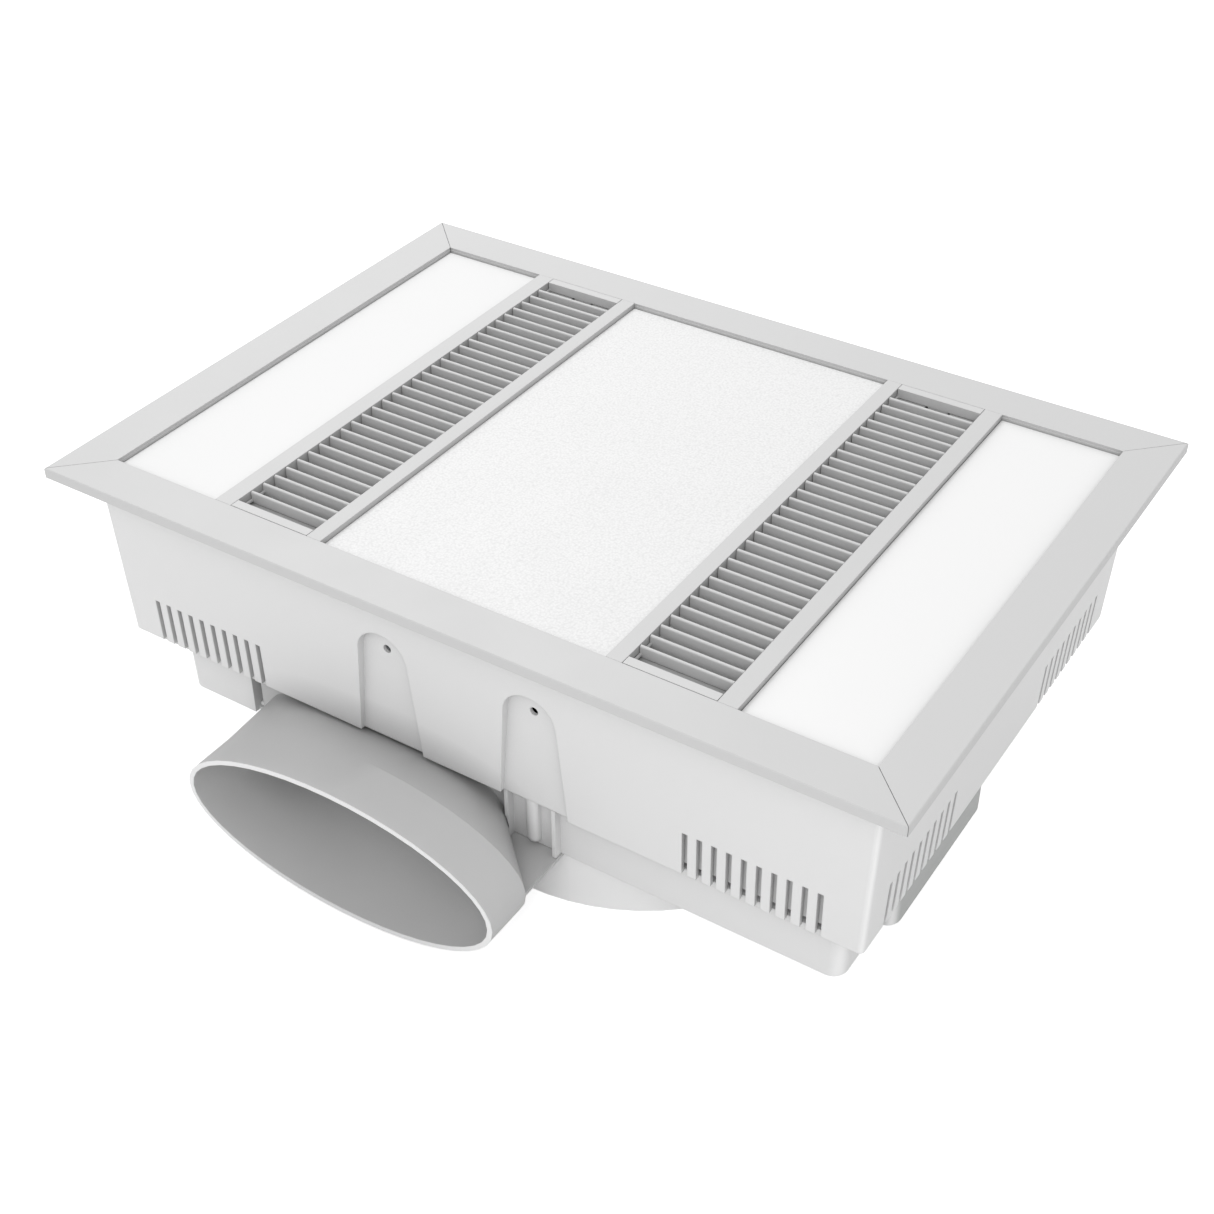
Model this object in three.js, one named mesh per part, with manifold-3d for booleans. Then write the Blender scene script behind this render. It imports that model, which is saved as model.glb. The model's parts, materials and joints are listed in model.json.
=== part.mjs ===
// Exhaust fan with light: a ceiling unit with two louvred air intakes and three lit panels.
// Millimetres, +Z up. The unit lies on the flat bottom of its fan scroll with the fascia on top,
// and is turned over to hang in a ceiling. The origin is the centre of the ceiling plane,
// which is the underside of the fascia flange. The oval duct points to -Y.
import * as THREE from 'three';
import { mergeVertices } from 'three/addons/utils/BufferGeometryUtils.js';
import Module from 'manifold-3d';

const wasm = await Module();
wasm.setup();

// Shared fits
const fitGap = 0.3;
const cutOver = 1;
const weldTolerance = 0.0001;
const fullTurn = 360;
const cornerSteps = 2;
const drawnSteps = 3;

// Fascia frame: four mitred rails
const fasciaWidth = 500;
const fasciaDepth = 350;
const flangeThick = 6;
const railWidth = 27;
const railChamfer = 0.6;
const lipDrop = 1.5;
const lipStep = 0.5;
const panelRecess = 3;
const diffuserThick = 2.6;
const ledgeThick = 2;
const sideLedge = 4;
const endLedge = 11.5;
const legThick = 2;
const legDrop = 12;
const legInset = 1;
const tenonInset = 5;
const tenonWidth = 12;
const tenonThick = 2.7;
const tenonArm = 44;
const tenonRoot = 0.7;

// Crossbars and what lies between them
const centrePanelWidth = 169;
const innerBarWidth = 8.8;
const grilleWidth = 50.4;
const outerBarWidth = 10.3;
const barLedge = 3;

// Louvre grilles
const bladeCount = 30;
const bladeThick = 2;
const bladeTopDrop = 0.3;
const bladeRoundSteps = 3;
const endStripWidth = 5.5;
const endAirGap = 9.5;
const bladeDeepDrop = 2.3;
const stringerWidth = 2;
const stringerHeight = 1.2;
const sideRailWidth = 1.2;
const sideRailHeight = 1.2;
const bayStepDrop = 1;
const bayStepReach = 14.2;
const tongueWidth = 12;
const tongueThick = 1.5;
const tongueDrop = 5;
const notchWidth = 15;
const notchDepth = 8.5;

// Light trays behind the three diffusers
const trayDepth = 24;
const trayWall = 1;
const trayFlange = 6;
const trayEndInset = 3;
const hookGap = 2.4;
const hookStem = 2;
const hookToe = 1.6;
const hookToeThick = 1.4;
const hookLength = 12;
const hookPlaces = [-110, 0, 110];
const boardThick = 1.6;
const boardMargin = 5;
const ledSize = 5;
const ledHeight = 0.9;
const ledColumns = 2;
const ledRows = 6;

// Small screws: a head on a plain shank
const screwHead = 3;
const screwHeadHeight = 1.8;
const screwShank = 1.5;
const screwSides = 8;

// Fascia spring clips
const clipWidth = 14;
const clipThick = 0.6;
const clipBulge = 1.3;
const clipDrop = 1;
const clipHeight = 9;
const clipFromEnd = 65;

// Upper housing sleeve
const flangeOverhang = 18.5;
const sleeveDepth = 105;
const sleeveWall = 2.9;
const sleeveCorner = 3;
const sleeveDraftShare = 0.032;
const slotCount = 10;
const slotWidth = 3.1;
const slotHeight = 28;
const slotPitch = 8.03;
const slotGroupX = 168.9;
const slotGroupY = 93.8;
const pocketOffset = 44.9;
const pocketFootHalf = 20.3;
const pocketArchRadius = 15.3;
const pocketLegHeight = 57.8;
const pocketFootDepth = 2.8;
const pocketFloor = 2;
const pocketDraft = 0.3;
const pocketHoleRadius = 2.4;
const pocketHoleLift = 3.2;
const archSteps = 9;

// Tub inside the sleeve, with the smaller lower box below it
const tubGap = 0.35;
const tubWall = 2.2;
const tubRise = 45;
const tubCorner = 2.5;
const shoulderDrop = 3;
const boxDrop = 33;
const boxFrontInset = 4.5;
const boxLeftInset = 25.1;
const boxRightInset = 8;
const boxCorner = 8.5;
const boxDraft = 1.3;
const snapLength = 20;
const snapSpan = 40;
const snapHeight = 3;
const snapProud = 1.2;
const snapLift = 20;
const cradleThick = 4;
const cradleSpan = 30;
const ventHeight = 4.1;
const ventLift = 0.7;
const ductOpeningLeft = 150.3;
const ductOpeningRight = 24.4;
const jambReturn = 8;
const jambRibWidth = 2.3;
const jambRibProud = 4.9;
const jambRibX = 54.55;
const screwPostX = 39.7;
const screwPostRadius = 4.3;
const screwPostLift = 0.8;
const cornerPostRadius = 5;
const cornerPostInset = 9;
const pilotDepth = 9;

// Fan scroll
const fanX = 20.5;
const fanFromOutlet = 111.04;
const scrollStart = 112.2;
const scrollGrowth = 53.3;
const scrollBottomDrop = 73;
const scrollWall = 2.4;
const scrollFrontGap = 8.85;
const scrollSteps = 45;
const scrollSweep = (Math.PI * 3) / 2;
const scrollFlange = 5;
const scrollFlangeThick = 2;
const motorBossRadius = 5;
const motorBossHeight = 3;
const motorBossSpan = 36;
const motorMounts = 3;
const casingScrewAngles = [-60, 15, 90, 160];

// Inlet plate and its bellmouth
const inletPlateThick = 1.6;
const inletPlateDrop = 2;
const bellOverlap = 19;
const bellCurve = 6;
const bellLip = 13;
const bellSteps = 3;
const bellDip = 15;
const bellWall = 1.6;
const bellSides = 36;

// Duct adapter: flange, flared transition and oval collar
const collarHalfWidth = 99;
const collarHalfHeight = 42.3;
const collarX = -39;
const collarDrop = 29;
const collarReach = 62.25;
const collarLength = 29;
const ductWall = 3;
const baseLeft = 139.5;
const baseRight = 19.7;
const baseTopDrop = 6;
const baseCornerShare = 0.45;
const baseBottomLift = 2;
const adapterFlange = 2.3;
const ductSides = 44;
const gussetThick = 2.2;
const gussetInset = 3.8;

// Backdraft flap in the adapter
const flapInset = 2.5;
const flapThick = 1.6;
const flapClear = 2.8;
const flapPivotDrop = 3;
const flapSleeveRadius = 3.2;
const flapPinRadius = 1.5;
const flapNotchLength = 9;
const flapNotchHalf = 5.5;
const springWire = 0.4;
const springTurns = 4;
const springTurnSteps = 8;

// Fan wheel
const wheelRadius = 92;
const wheelBladeDepth = 15;
const wheelHeight = 47;
const wheelLift = 13;
const wheelPlate = 1.6;
const wheelRing = 2;
const wheelBladeCount = 30;
const wheelBladeThick = 1.2;
const wheelLeanShare = 0.55;
const wheelHubHeight = 18;
const wheelHubWall = 2;

// External rotor motor
const canRadius = 45;
const canWall = 2;
const canHeight = 34;
const magnetThick = 4;
const stackRadius = 38;
const stackHeight = 20;
const windingRadius = 32;
const windingHeight = 3.2;
const windingInner = 18;
const motorBaseRadius = 44;
const motorBaseThick = 2;
const motorPostRadius = 14;
const motorPostHeight = 35;
const bearingRadius = 11;
const bearingHeight = 7;
const shaftRadius = 4;
const shaftShoulder = 8;
const shaftNutRadius = 8;
const shaftNutHeight = 4;
const windingSlots = 6;
const windingSlotRadius = 3;
const windingSlotRing = 27;
const roundSides = 24;
const motorSides = 16;

// Electrical parts in the lower box
const terminalFront = 102.2;
const terminalBack = 6.8;
const terminalWidth = 32.9;
const terminalSideInset = 2;
const terminalWall = 1.6;
const terminalTopGap = 2.4;
const terminalLip = 5;
const terminalBlockWidth = 12;
const terminalBlockLength = 62;
const terminalBlockHeight = 12;
const terminalWays = 5;
const blockShares = { body: 0.6, tower: 0.7, well: 0.6 };
const coverThick = 1;
const driverWidth = 36;
const driverLength = 120;
const driverHeight = 17;
const driverRadius = 2;
const driverGroove = 1.2;
const driverGrooves = 5;
const capacitorRadius = 8;
const capacitorLength = 58;
const capacitorY = 55;
const tabSpan = 3;
const tabWidth = 2.4;
const tabLength = 6;
const tabThick = 0.8;
const glandThread = 8;
const glandHex = 12;
const glandHexHeight = 5;
const glandDome = 9.5;
const glandDomeHeight = 12;
const glandBore = 4.5;
const glandNutHeight = 4;
const domeShares = [[0.7, 0], [0.93, 0.2], [1, 0.45]];
const hexSides = 6;

// Places worked out from the sizes above
const ledgeTop = flangeThick - panelRecess - diffuserThick - fitGap;
const insertBottom = ledgeTop + fitGap;
const openX = fasciaWidth / 2 - railWidth;
const openY = fasciaDepth / 2 - railWidth;
const seatX = openX - lipStep;
const seatY = openY - lipStep;
const innerBarStart = centrePanelWidth / 2;
const grilleStart = innerBarStart + innerBarWidth;
const outerBarStart = grilleStart + grilleWidth;
const sidePanelStart = outerBarStart + outerBarWidth;
const stripInner = openY - fitGap - endStripWidth;
const bayStepTop = ledgeTop - bayStepDrop;
const bladeBottom = insertBottom - bladeDeepDrop;
const centreBodyX = innerBarStart - barLedge - fitGap;
const centreFlangeX = innerBarStart + innerBarWidth / 2 - hookGap;
const sideBodyX0 = sidePanelStart + barLedge + fitGap;
const sideBodyX1 = seatX - sideLedge - fitGap;
const sideFlangeX0 = outerBarStart + outerBarWidth / 2 + hookGap;
const sideFlangeX1 = fasciaWidth / 2 - railWidth + legInset - fitGap;
const clipOffset = fasciaWidth / 2 - clipFromEnd;
const sleeveTopX = fasciaWidth / 2 - flangeOverhang;
const sleeveTopY = fasciaDepth / 2 - flangeOverhang;
const sleeveBottom = -sleeveDepth;
const sleeveFootX = sleeveTopX - sleeveDepth * sleeveDraftShare;
const sleeveFootY = sleeveTopY - sleeveDepth * sleeveDraftShare;
const pocketFaceY = sleeveFootY - pocketFootDepth;
const tubX = sleeveFootX - sleeveWall - tubGap;
const tubY = sleeveFootY - sleeveWall - tubGap;
const boxBottom = sleeveBottom - boxDrop;
const boxFloor = boxBottom + tubWall;
const boxLeft = boxLeftInset - tubX;
const boxRight = tubX - boxRightInset;
const boxY = tubY - boxFrontInset;
const shoulderBottom = sleeveBottom - shoulderDrop;
const shoulderTop = shoulderBottom + tubWall;
const scrollBottom = sleeveBottom - scrollBottomDrop;
const scrollFloor = scrollBottom + scrollWall;
const scrollFrontY = scrollFrontGap - tubY;
const fanY = scrollFrontY + fanFromOutlet;
const scrollLeftX = fanX - scrollStart - scrollGrowth;
const inletPlateBottom = sleeveBottom - inletPlateDrop;
const scrollTop = inletPlateBottom - fitGap;
const inletPlateTop = inletPlateBottom + inletPlateThick;
const collarZ = sleeveBottom - collarDrop;
const collarEndY = -tubY - collarReach;
const collarStartY = collarEndY + collarLength;
const baseY = scrollFrontY - fitGap - adapterFlange;
const baseTop = sleeveBottom - baseTopDrop;
const baseBottom = scrollBottom + baseBottomLift;
const motorBossTop = scrollFloor + motorBossHeight;
const motorBaseZ = motorBossTop + fitGap;
const motorPostTop = motorBaseZ + motorPostHeight;
const wheelZ = scrollFloor + wheelLift;
const wheelInner = wheelRadius - wheelBladeDepth;
const bellThroat = wheelRadius - bellOverlap;
const bellFlat = bellThroat + bellCurve;
const bellRim = bellFlat + bellLip;
const stackZ = motorBaseZ + motorBaseThick + windingHeight + fitGap * 4;
const canTop = motorPostTop + fitGap * 2 + canWall;
const terminalOuter = tubX - terminalSideInset;
const terminalInner = terminalOuter - terminalWidth;
const terminalTop = scrollTop - terminalTopGap;
const glandX = (terminalInner + terminalOuter) / 2;
const glandY = terminalBack - terminalWall - glandHex - boxCorner;

// Helpers: closed three.js geometry to and from solids
function solid(geometry) {
  const bare = geometry.clone();
  bare.deleteAttribute('normal');
  bare.deleteAttribute('uv');
  const merged = mergeVertices(bare, weldTolerance);
  const vertProperties = new Float32Array(merged.attributes.position.array);
  const triVerts = new Uint32Array(merged.index.array);
  return new wasm.Manifold(new wasm.Mesh({ numProp: 3, vertProperties, triVerts }));
}

function mesh(name, body, material) {
  const { vertProperties, triVerts } = body.asOriginal().simplify(weldTolerance).getMesh();
  const geometry = new THREE.BufferGeometry();
  geometry.setAttribute('position', new THREE.Float32BufferAttribute(vertProperties, 3));
  geometry.setIndex(new THREE.Uint32BufferAttribute(triVerts, 1));
  geometry.computeVertexNormals();
  const piece = new THREE.Mesh(geometry, material);
  piece.name = name;
  return piece;
}

function finish(color, roughness, metalness = 0) {
  return new THREE.MeshStandardMaterial({ color, roughness, metalness });
}

function joined(bodies) {
  return bodies.reduce((whole, body) => whole.add(body));
}

function box(x0, x1, y0, y1, z0, z1) {
  const geometry = new THREE.BoxGeometry(x1 - x0, y1 - y0, z1 - z0);
  geometry.translate((x0 + x1) / 2, (y0 + y1) / 2, (z0 + z1) / 2);
  return solid(geometry);
}

// Prisms of an outline: its first axis is X in the first two and Y in the last
function alongZ(shape, z0, z1, curveSegments = cornerSteps) {
  const geometry = new THREE.ExtrudeGeometry(shape, { depth: z1 - z0, bevelEnabled: false, curveSegments });
  geometry.translate(0, 0, z0);
  return solid(geometry);
}

function alongY(shape, y0, y1, curveSegments = cornerSteps) {
  const geometry = new THREE.ExtrudeGeometry(shape, { depth: y1 - y0, bevelEnabled: false, curveSegments });
  geometry.rotateX(Math.PI / 2);
  geometry.translate(0, y1, 0);
  return solid(geometry);
}

function alongX(shape, x0, x1, curveSegments = cornerSteps) {
  const geometry = new THREE.ExtrudeGeometry(shape, { depth: x1 - x0, bevelEnabled: false, curveSegments });
  const xAxis = new THREE.Vector3(1, 0, 0);
  const yAxis = new THREE.Vector3(0, 1, 0);
  const zAxis = new THREE.Vector3(0, 0, 1);
  geometry.applyMatrix4(new THREE.Matrix4().makeBasis(yAxis, zAxis, xAxis));
  geometry.translate(x0, 0, 0);
  return solid(geometry);
}

function polygon(points) {
  return new THREE.Shape(points.map(([a, b]) => new THREE.Vector2(a, b)));
}

function roundedRect(x0, x1, y0, y1, radius) {
  const shape = new THREE.Shape();
  shape.moveTo(x0 + radius, y0);
  shape.lineTo(x1 - radius, y0);
  shape.absarc(x1 - radius, y0 + radius, radius, -Math.PI / 2, 0);
  shape.lineTo(x1, y1 - radius);
  shape.absarc(x1 - radius, y1 - radius, radius, 0, Math.PI / 2);
  shape.lineTo(x0 + radius, y1);
  shape.absarc(x0 + radius, y1 - radius, radius, Math.PI / 2, Math.PI);
  shape.lineTo(x0, y0 + radius);
  shape.absarc(x0 + radius, y0 + radius, radius, Math.PI, Math.PI * 1.5);
  return shape;
}

function disc(x, y, radius, z0, z1, sides = roundSides) {
  const geometry = new THREE.CylinderGeometry(radius, radius, z1 - z0, sides);
  geometry.rotateX(Math.PI / 2);
  geometry.translate(x, y, (z0 + z1) / 2);
  return solid(geometry);
}

function rodX(x0, x1, y, z, radius, sides) {
  const geometry = new THREE.CylinderGeometry(radius, radius, x1 - x0, sides);
  geometry.rotateZ(Math.PI / 2);
  geometry.translate((x0 + x1) / 2, y, z);
  return solid(geometry);
}

function rodY(x, y0, y1, z, radius, sides) {
  const geometry = new THREE.CylinderGeometry(radius, radius, y1 - y0, sides);
  geometry.translate(x, (y0 + y1) / 2, z);
  return solid(geometry);
}

// A closed profile of radius and height turned about an upright axis
function turned(profile, x, y, sides = roundSides) {
  const points = profile.map(([r, z]) => new THREE.Vector2(r, z));
  if (THREE.ShapeUtils.area(points) < 0) points.reverse();
  if (points[0].x > 0) points.push(points[0].clone());
  const geometry = new THREE.LatheGeometry(points, sides);
  geometry.rotateX(Math.PI / 2);
  geometry.translate(x, y, 0);
  return solid(geometry);
}

function ringZ(x, y, inner, outer, z0, z1, sides = roundSides) {
  return disc(x, y, outer, z0, z1, sides).subtract(disc(x, y, inner, z0 - cutOver, z1 + cutOver, sides));
}

// A solid skinned over matching rings of points, with flat ends
function loft(rings) {
  const count = rings[0].length;
  const positions = [];
  const indices = [];
  rings.forEach((ring) => ring.forEach((p) => positions.push(p.x, p.y, p.z)));
  for (let k = 0; k + 1 < rings.length; k += 1) {
    for (let i = 0; i < count; i += 1) {
      const a = k * count + i;
      const b = k * count + ((i + 1) % count);
      indices.push(a, b, b + count);
      indices.push(a, b + count, a + count);
    }
  }
  const flat = flatten(rings[0]);
  const faces = THREE.ShapeUtils.triangulateShape(flat, []);
  const last = (rings.length - 1) * count;
  faces.forEach(([a, b, c]) => {
    indices.push(a, c, b);
    indices.push(last + a, last + b, last + c);
  });
  const geometry = new THREE.BufferGeometry();
  geometry.setAttribute('position', new THREE.Float32BufferAttribute(positions, 3));
  geometry.setIndex(indices);
  return solid(geometry);
}

// The ring seen from its own end, turned so that it runs anticlockwise
function flatten(ring) {
  const normal = new THREE.Vector3();
  ring.forEach((p, i) => normal.add(p.clone().cross(ring[(i + 1) % ring.length])));
  normal.normalize();
  const across = ring[1].clone().sub(ring[0]);
  across.addScaledVector(normal, -across.dot(normal)).normalize();
  const up = normal.clone().cross(across);
  return ring.map((p) => new THREE.Vector2(p.dot(across), p.dot(up)));
}

function outlinePoints(shape, steps) {
  const points = shape.extractPoints(steps).shape;
  const kept = points.filter((p, i) => i === 0 || p.distanceTo(points[i - 1]) > weldTolerance);
  if (kept[0].distanceTo(kept[kept.length - 1]) < weldTolerance) kept.pop();
  return kept;
}

function ringAt(points, z, grow) {
  return points.map((p) => new THREE.Vector3(p.x + grow * Math.sign(p.x), p.y + grow * Math.sign(p.y), z));
}

// A pan head screw with its shank pointing down
function screw(x, y, seat, shankEnd, headRadius = screwHead) {
  const head = disc(x, y, headRadius, seat, seat + screwHeadHeight, screwSides);
  const shank = disc(x, y, screwShank, shankEnd, seat + screwHeadHeight / 2, screwSides);
  return head.add(shank);
}

function screwHole(x, y, z0, z1) {
  return disc(x, y, screwShank + fitGap, z0, z1, screwSides);
}

// Fascia: section of a rail as distance in from the outer edge and height
function railSection(ledge) {
  return [
    [0, 0],
    [tenonInset, 0],
    [tenonInset, tenonThick + fitGap],
    [tenonInset + tenonWidth, tenonThick + fitGap],
    [tenonInset + tenonWidth, 0],
    [railWidth - legInset - legThick, 0],
    [railWidth - legInset - legThick, -legDrop],
    [railWidth - legInset, -legDrop],
    [railWidth - legInset, ledgeTop - ledgeThick],
    [railWidth + lipStep + ledge, ledgeTop - ledgeThick],
    [railWidth + lipStep + ledge, ledgeTop],
    [railWidth + lipStep, ledgeTop],
    [railWidth + lipStep, flangeThick - lipDrop],
    [railWidth, flangeThick - lipDrop],
    [railWidth, flangeThick],
    [railChamfer, flangeThick],
    [0, flangeThick - railChamfer],
  ];
}

// A rail runs along X with its outer edge towards -Y, cut at 45 degrees at both ends
function rail(length, depth, ledge) {
  const section = railSection(ledge);
  const ringEnd = (side) => section.map(([u, z]) => {
    const along = side * (length / 2 - u - fitGap / 2);
    return new THREE.Vector3(along, u - depth / 2, z);
  });
  return loft([ringEnd(-1), ringEnd(1)]);
}

function turnedZ(body, degrees) {
  return body.rotate([0, 0, degrees]);
}

function catchNotches() {
  const far = railWidth + lipStep + endLedge;
  const centre = grilleStart + grilleWidth / 2;
  const y0 = far - notchDepth - fasciaDepth / 2;
  const y1 = far + cutOver - fasciaDepth / 2;
  const z0 = ledgeTop - ledgeThick - cutOver;
  const z1 = insertBottom;
  const notch = (x) => box(x - notchWidth / 2, x + notchWidth / 2, y0, y1, z0, z1);
  return notch(-centre).add(notch(centre));
}

// A lower step of the ledge closes the end of each louvre bay from below
function baySteps() {
  const x0 = grilleStart + fitGap;
  const x1 = grilleStart + grilleWidth - fitGap;
  const step = box(x0, x1, -stripInner, bayStepReach - stripInner, bayStepTop - ledgeThick, bayStepTop);
  return step.add(step.mirror([1, 0, 0]));
}

function frontRail() {
  return rail(fasciaWidth, fasciaDepth, endLedge).subtract(catchNotches()).add(baySteps());
}

// A tenon turns from the channel of a side rail into the channel of its neighbour
function railTenon() {
  const x1 = fasciaDepth / 2 - tenonInset - fitGap;
  const y0 = tenonInset + fitGap - fasciaWidth / 2;
  const wide = tenonWidth - fitGap * 2;
  const bent = alongZ(polygon([
    [x1, y0],
    [x1, y0 + tenonArm],
    [x1 - wide, y0 + tenonArm],
    [x1 - wide, y0 + wide],
    [x1 - tenonArm, y0 + wide],
    [x1 - tenonArm, y0],
  ]), 0, tenonThick);
  const mitre = tenonInset + tenonWidth + fitGap * 2;
  const rootEnd = fasciaDepth / 2 - mitre;
  const root = box(x1 - tenonArm, rootEnd, y0, y0 + wide, 0, tenonThick + tenonRoot);
  return bent.add(root);
}

// Beads on the leg hold the outer edge of the side light tray
function trayBeads() {
  const y0 = railWidth - legInset - hookToe / 2 - fasciaWidth / 2;
  const z1 = ledgeTop - ledgeThick - trayWall - fitGap * 2;
  return joined(hookPlaces.map((x) => (
    box(x - hookLength / 2, x + hookLength / 2, y0, y0 + hookToe, z1 - hookToeThick, z1)
  )));
}

function sideRail() {
  const tenon = railTenon();
  return joined([rail(fasciaDepth, fasciaWidth, sideLedge), tenon, tenon.mirror([1, 0, 0]), trayBeads()]);
}

// A crossbar carries a lit panel on one side; hooks below it hold the edge of a light tray
function crossbar(start, width, side, hookSide) {
  const low = Math.min(side * start, side * (start + width));
  const high = low + width;
  const lowerEnd = seatY - endLedge - fitGap;
  const top = box(low, high, -openY, openY, flangeThick - lipDrop, flangeThick);
  const web = box(low, high, -seatY, seatY, insertBottom, flangeThick - lipDrop / 2);
  const towards = side * hookSide;
  const footX0 = low - Math.max(-towards, 0) * barLedge;
  const footX1 = high + Math.max(towards, 0) * barLedge;
  const foot = box(footX0, footX1, -lowerEnd, lowerEnd, ledgeTop - ledgeThick, ledgeTop);
  const stem = box(low, high, -lowerEnd, lowerEnd, ledgeTop - ledgeThick / 2, insertBottom + fitGap);
  const mid = (low + high) / 2;
  return joined([top, web, foot, stem, ...hookPlaces.map((y) => trayHook(mid, y, towards))]);
}

function trayHook(mid, y, towards) {
  const root = mid + towards * (hookGap - fitGap);
  const back = root - towards * hookStem;
  const tip = root + towards * hookToe;
  const toeTop = ledgeTop - ledgeThick - trayWall - fitGap * 2;
  const toeBottom = toeTop - hookToeThick;
  const y0 = y - hookLength / 2;
  const y1 = y + hookLength / 2;
  const stem = box(Math.min(root, back), Math.max(root, back), y0, y1, toeBottom, ledgeTop - ledgeThick / 2);
  const toe = box(Math.min(back, tip), Math.max(back, tip), y0, y1, toeBottom, toeTop);
  return stem.add(toe);
}

// Louvre grille: thin upright blades across a lift-out insert with an end strip at each end.
// The blades reach down between the crossbars, where two stringers join their feet.
function louvreGrille(side) {
  const x0 = Math.min(side * grilleStart, side * (grilleStart + grilleWidth)) + fitGap;
  const x1 = x0 + grilleWidth - fitGap * 2;
  const firstBlade = stripInner - endAirGap - bladeThick / 2;
  const pitch = (firstBlade * 2) / (bladeCount - 1);
  const secondFace = firstBlade - pitch + bladeThick / 2;
  const shortBottom = bayStepTop + fitGap;
  const end = grilleEnd(x0, x1, secondFace - bladeThick);
  const pieces = [end, end.mirror([0, 1, 0])];
  [x0, x1 - stringerWidth].forEach((x) => {
    const top = bladeBottom + stringerHeight;
    pieces.push(box(x, x + stringerWidth, -secondFace, secondFace, bladeBottom, top));
  });
  for (let k = 0; k < bladeCount; k += 1) {
    const y = k * pitch - firstBlade;
    const isFirstOrLast = k === 0 || k === bladeCount - 1;
    const bottom = isFirstOrLast ? shortBottom : bladeBottom;
    pieces.push(alongX(bladeSection(y, bottom, flangeThick - bladeTopDrop), x0, x1, bladeRoundSteps));
  }
  return joined(pieces);
}

// End strip with its lip and snap tongue, and two short rails that carry the first blades
function grilleEnd(x0, x1, railEnd) {
  const outer = seatY - fitGap;
  const mid = (x0 + x1) / 2;
  const half = tongueWidth / 2;
  const tongueY = stripInner + fitGap;
  const railTop = insertBottom + sideRailHeight;
  const pieces = [
    box(x0, x1, stripInner, outer, insertBottom, flangeThick),
    box(x0, x1, stripInner, openY - fitGap, flangeThick - lipDrop + fitGap, flangeThick),
    box(mid - half, mid + half, tongueY, tongueY + tongueThick, insertBottom - tongueDrop, railTop),
  ];
  [x0, x1 - sideRailWidth].forEach((x) => {
    pieces.push(box(x, x + sideRailWidth, railEnd, outer, insertBottom, railTop));
  });
  return joined(pieces);
}

function bladeSection(y, z0, z1) {
  const radius = bladeThick / 2;
  const shape = new THREE.Shape();
  shape.moveTo(y - radius, z0);
  shape.lineTo(y + radius, z0);
  shape.absarc(y, z1 - radius, radius, 0, Math.PI);
  return shape;
}

function diffuser(x0, x1) {
  const half = seatY - fitGap;
  return box(x0 + fitGap, x1 - fitGap, -half, half, insertBottom, insertBottom + diffuserThick);
}

// Light tray: an open sheet box with an outward flange that lies under the ledges
function lightTray(bodyX0, bodyX1, flangeX0, flangeX1) {
  const top = ledgeTop - ledgeThick - fitGap;
  const bodyY = seatY - endLedge - trayEndInset;
  const flangeY = bodyY + trayFlange;
  const flange = box(flangeX0, flangeX1, -flangeY, flangeY, top - trayWall, top);
  const outer = box(bodyX0, bodyX1, -bodyY, bodyY, top - trayDepth, top);
  const innerY = bodyY - trayWall;
  const cavity = box(
    bodyX0 + trayWall, bodyX1 - trayWall, -innerY, innerY, top - trayDepth + trayWall, top + cutOver,
  );
  return flange.add(outer).subtract(cavity);
}

function lightBoard(bodyX0, bodyX1) {
  const top = ledgeTop - ledgeThick - fitGap;
  const z0 = top - trayDepth + trayWall + fitGap;
  const bodyY = seatY - endLedge - trayEndInset - trayWall - boardMargin;
  const x0 = bodyX0 + trayWall + boardMargin;
  const x1 = bodyX1 - trayWall - boardMargin;
  const pieces = [box(x0, x1, -bodyY, bodyY, z0, z0 + boardThick)];
  for (let i = 0; i < ledColumns; i += 1) {
    for (let j = 0; j < ledRows; j += 1) {
      const x = x0 + ((x1 - x0) / ledColumns) * i + (x1 - x0) / ledColumns / 2;
      const y = -bodyY + ((bodyY * 2) / ledRows) * j + bodyY / ledRows;
      const half = ledSize / 2;
      const ledTop = z0 + boardThick + ledHeight;
      pieces.push(box(x - half, x + half, y - half, y + half, z0 + boardThick / 2, ledTop));
    }
  }
  return joined(pieces);
}

// Bent leaf between the leg of the fascia frame and the inside of the sleeve
function fasciaClip(x, side) {
  const y0 = fasciaDepth / 2 - railWidth + legInset + legThick + fitGap;
  const z1 = -clipDrop;
  const z0 = z1 - clipHeight;
  const mid = (z0 + z1) / 2;
  const leaf = alongX(polygon([
    [y0, z0],
    [y0 + clipThick, z0],
    [y0 + clipBulge + clipThick / 2, mid],
    [y0 + clipThick, z1],
    [y0, z1],
    [y0 + clipBulge - clipThick / 2, mid],
  ]), x - clipWidth / 2, x + clipWidth / 2);
  return side > 0 ? leaf : leaf.mirror([0, 1, 0]);
}

// Upper housing: a drafted sleeve with rounded corners, rows of slots and arch pockets
function draftedBox(topX, topY, radius, z0, z1) {
  const points = outlinePoints(roundedRect(-topX, topX, -topY, topY, radius), cornerSteps);
  return loft([ringAt(points, z0, z0 * sleeveDraftShare), ringAt(points, z1, z1 * sleeveDraftShare)]);
}

function archShape(x, grow, foot) {
  const spring = sleeveBottom + pocketLegHeight;
  const radius = pocketArchRadius + grow;
  const splay = Math.atan2(pocketFootHalf - pocketArchRadius, pocketLegHeight);
  const shape = new THREE.Shape();
  const overFoot = (pocketFootHalf + grow) + (sleeveBottom - foot) * Math.tan(splay);
  shape.moveTo(x - overFoot, foot);
  shape.lineTo(x + overFoot, foot);
  shape.absarc(x, spring, radius, splay, Math.PI - splay);
  return shape;
}

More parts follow.
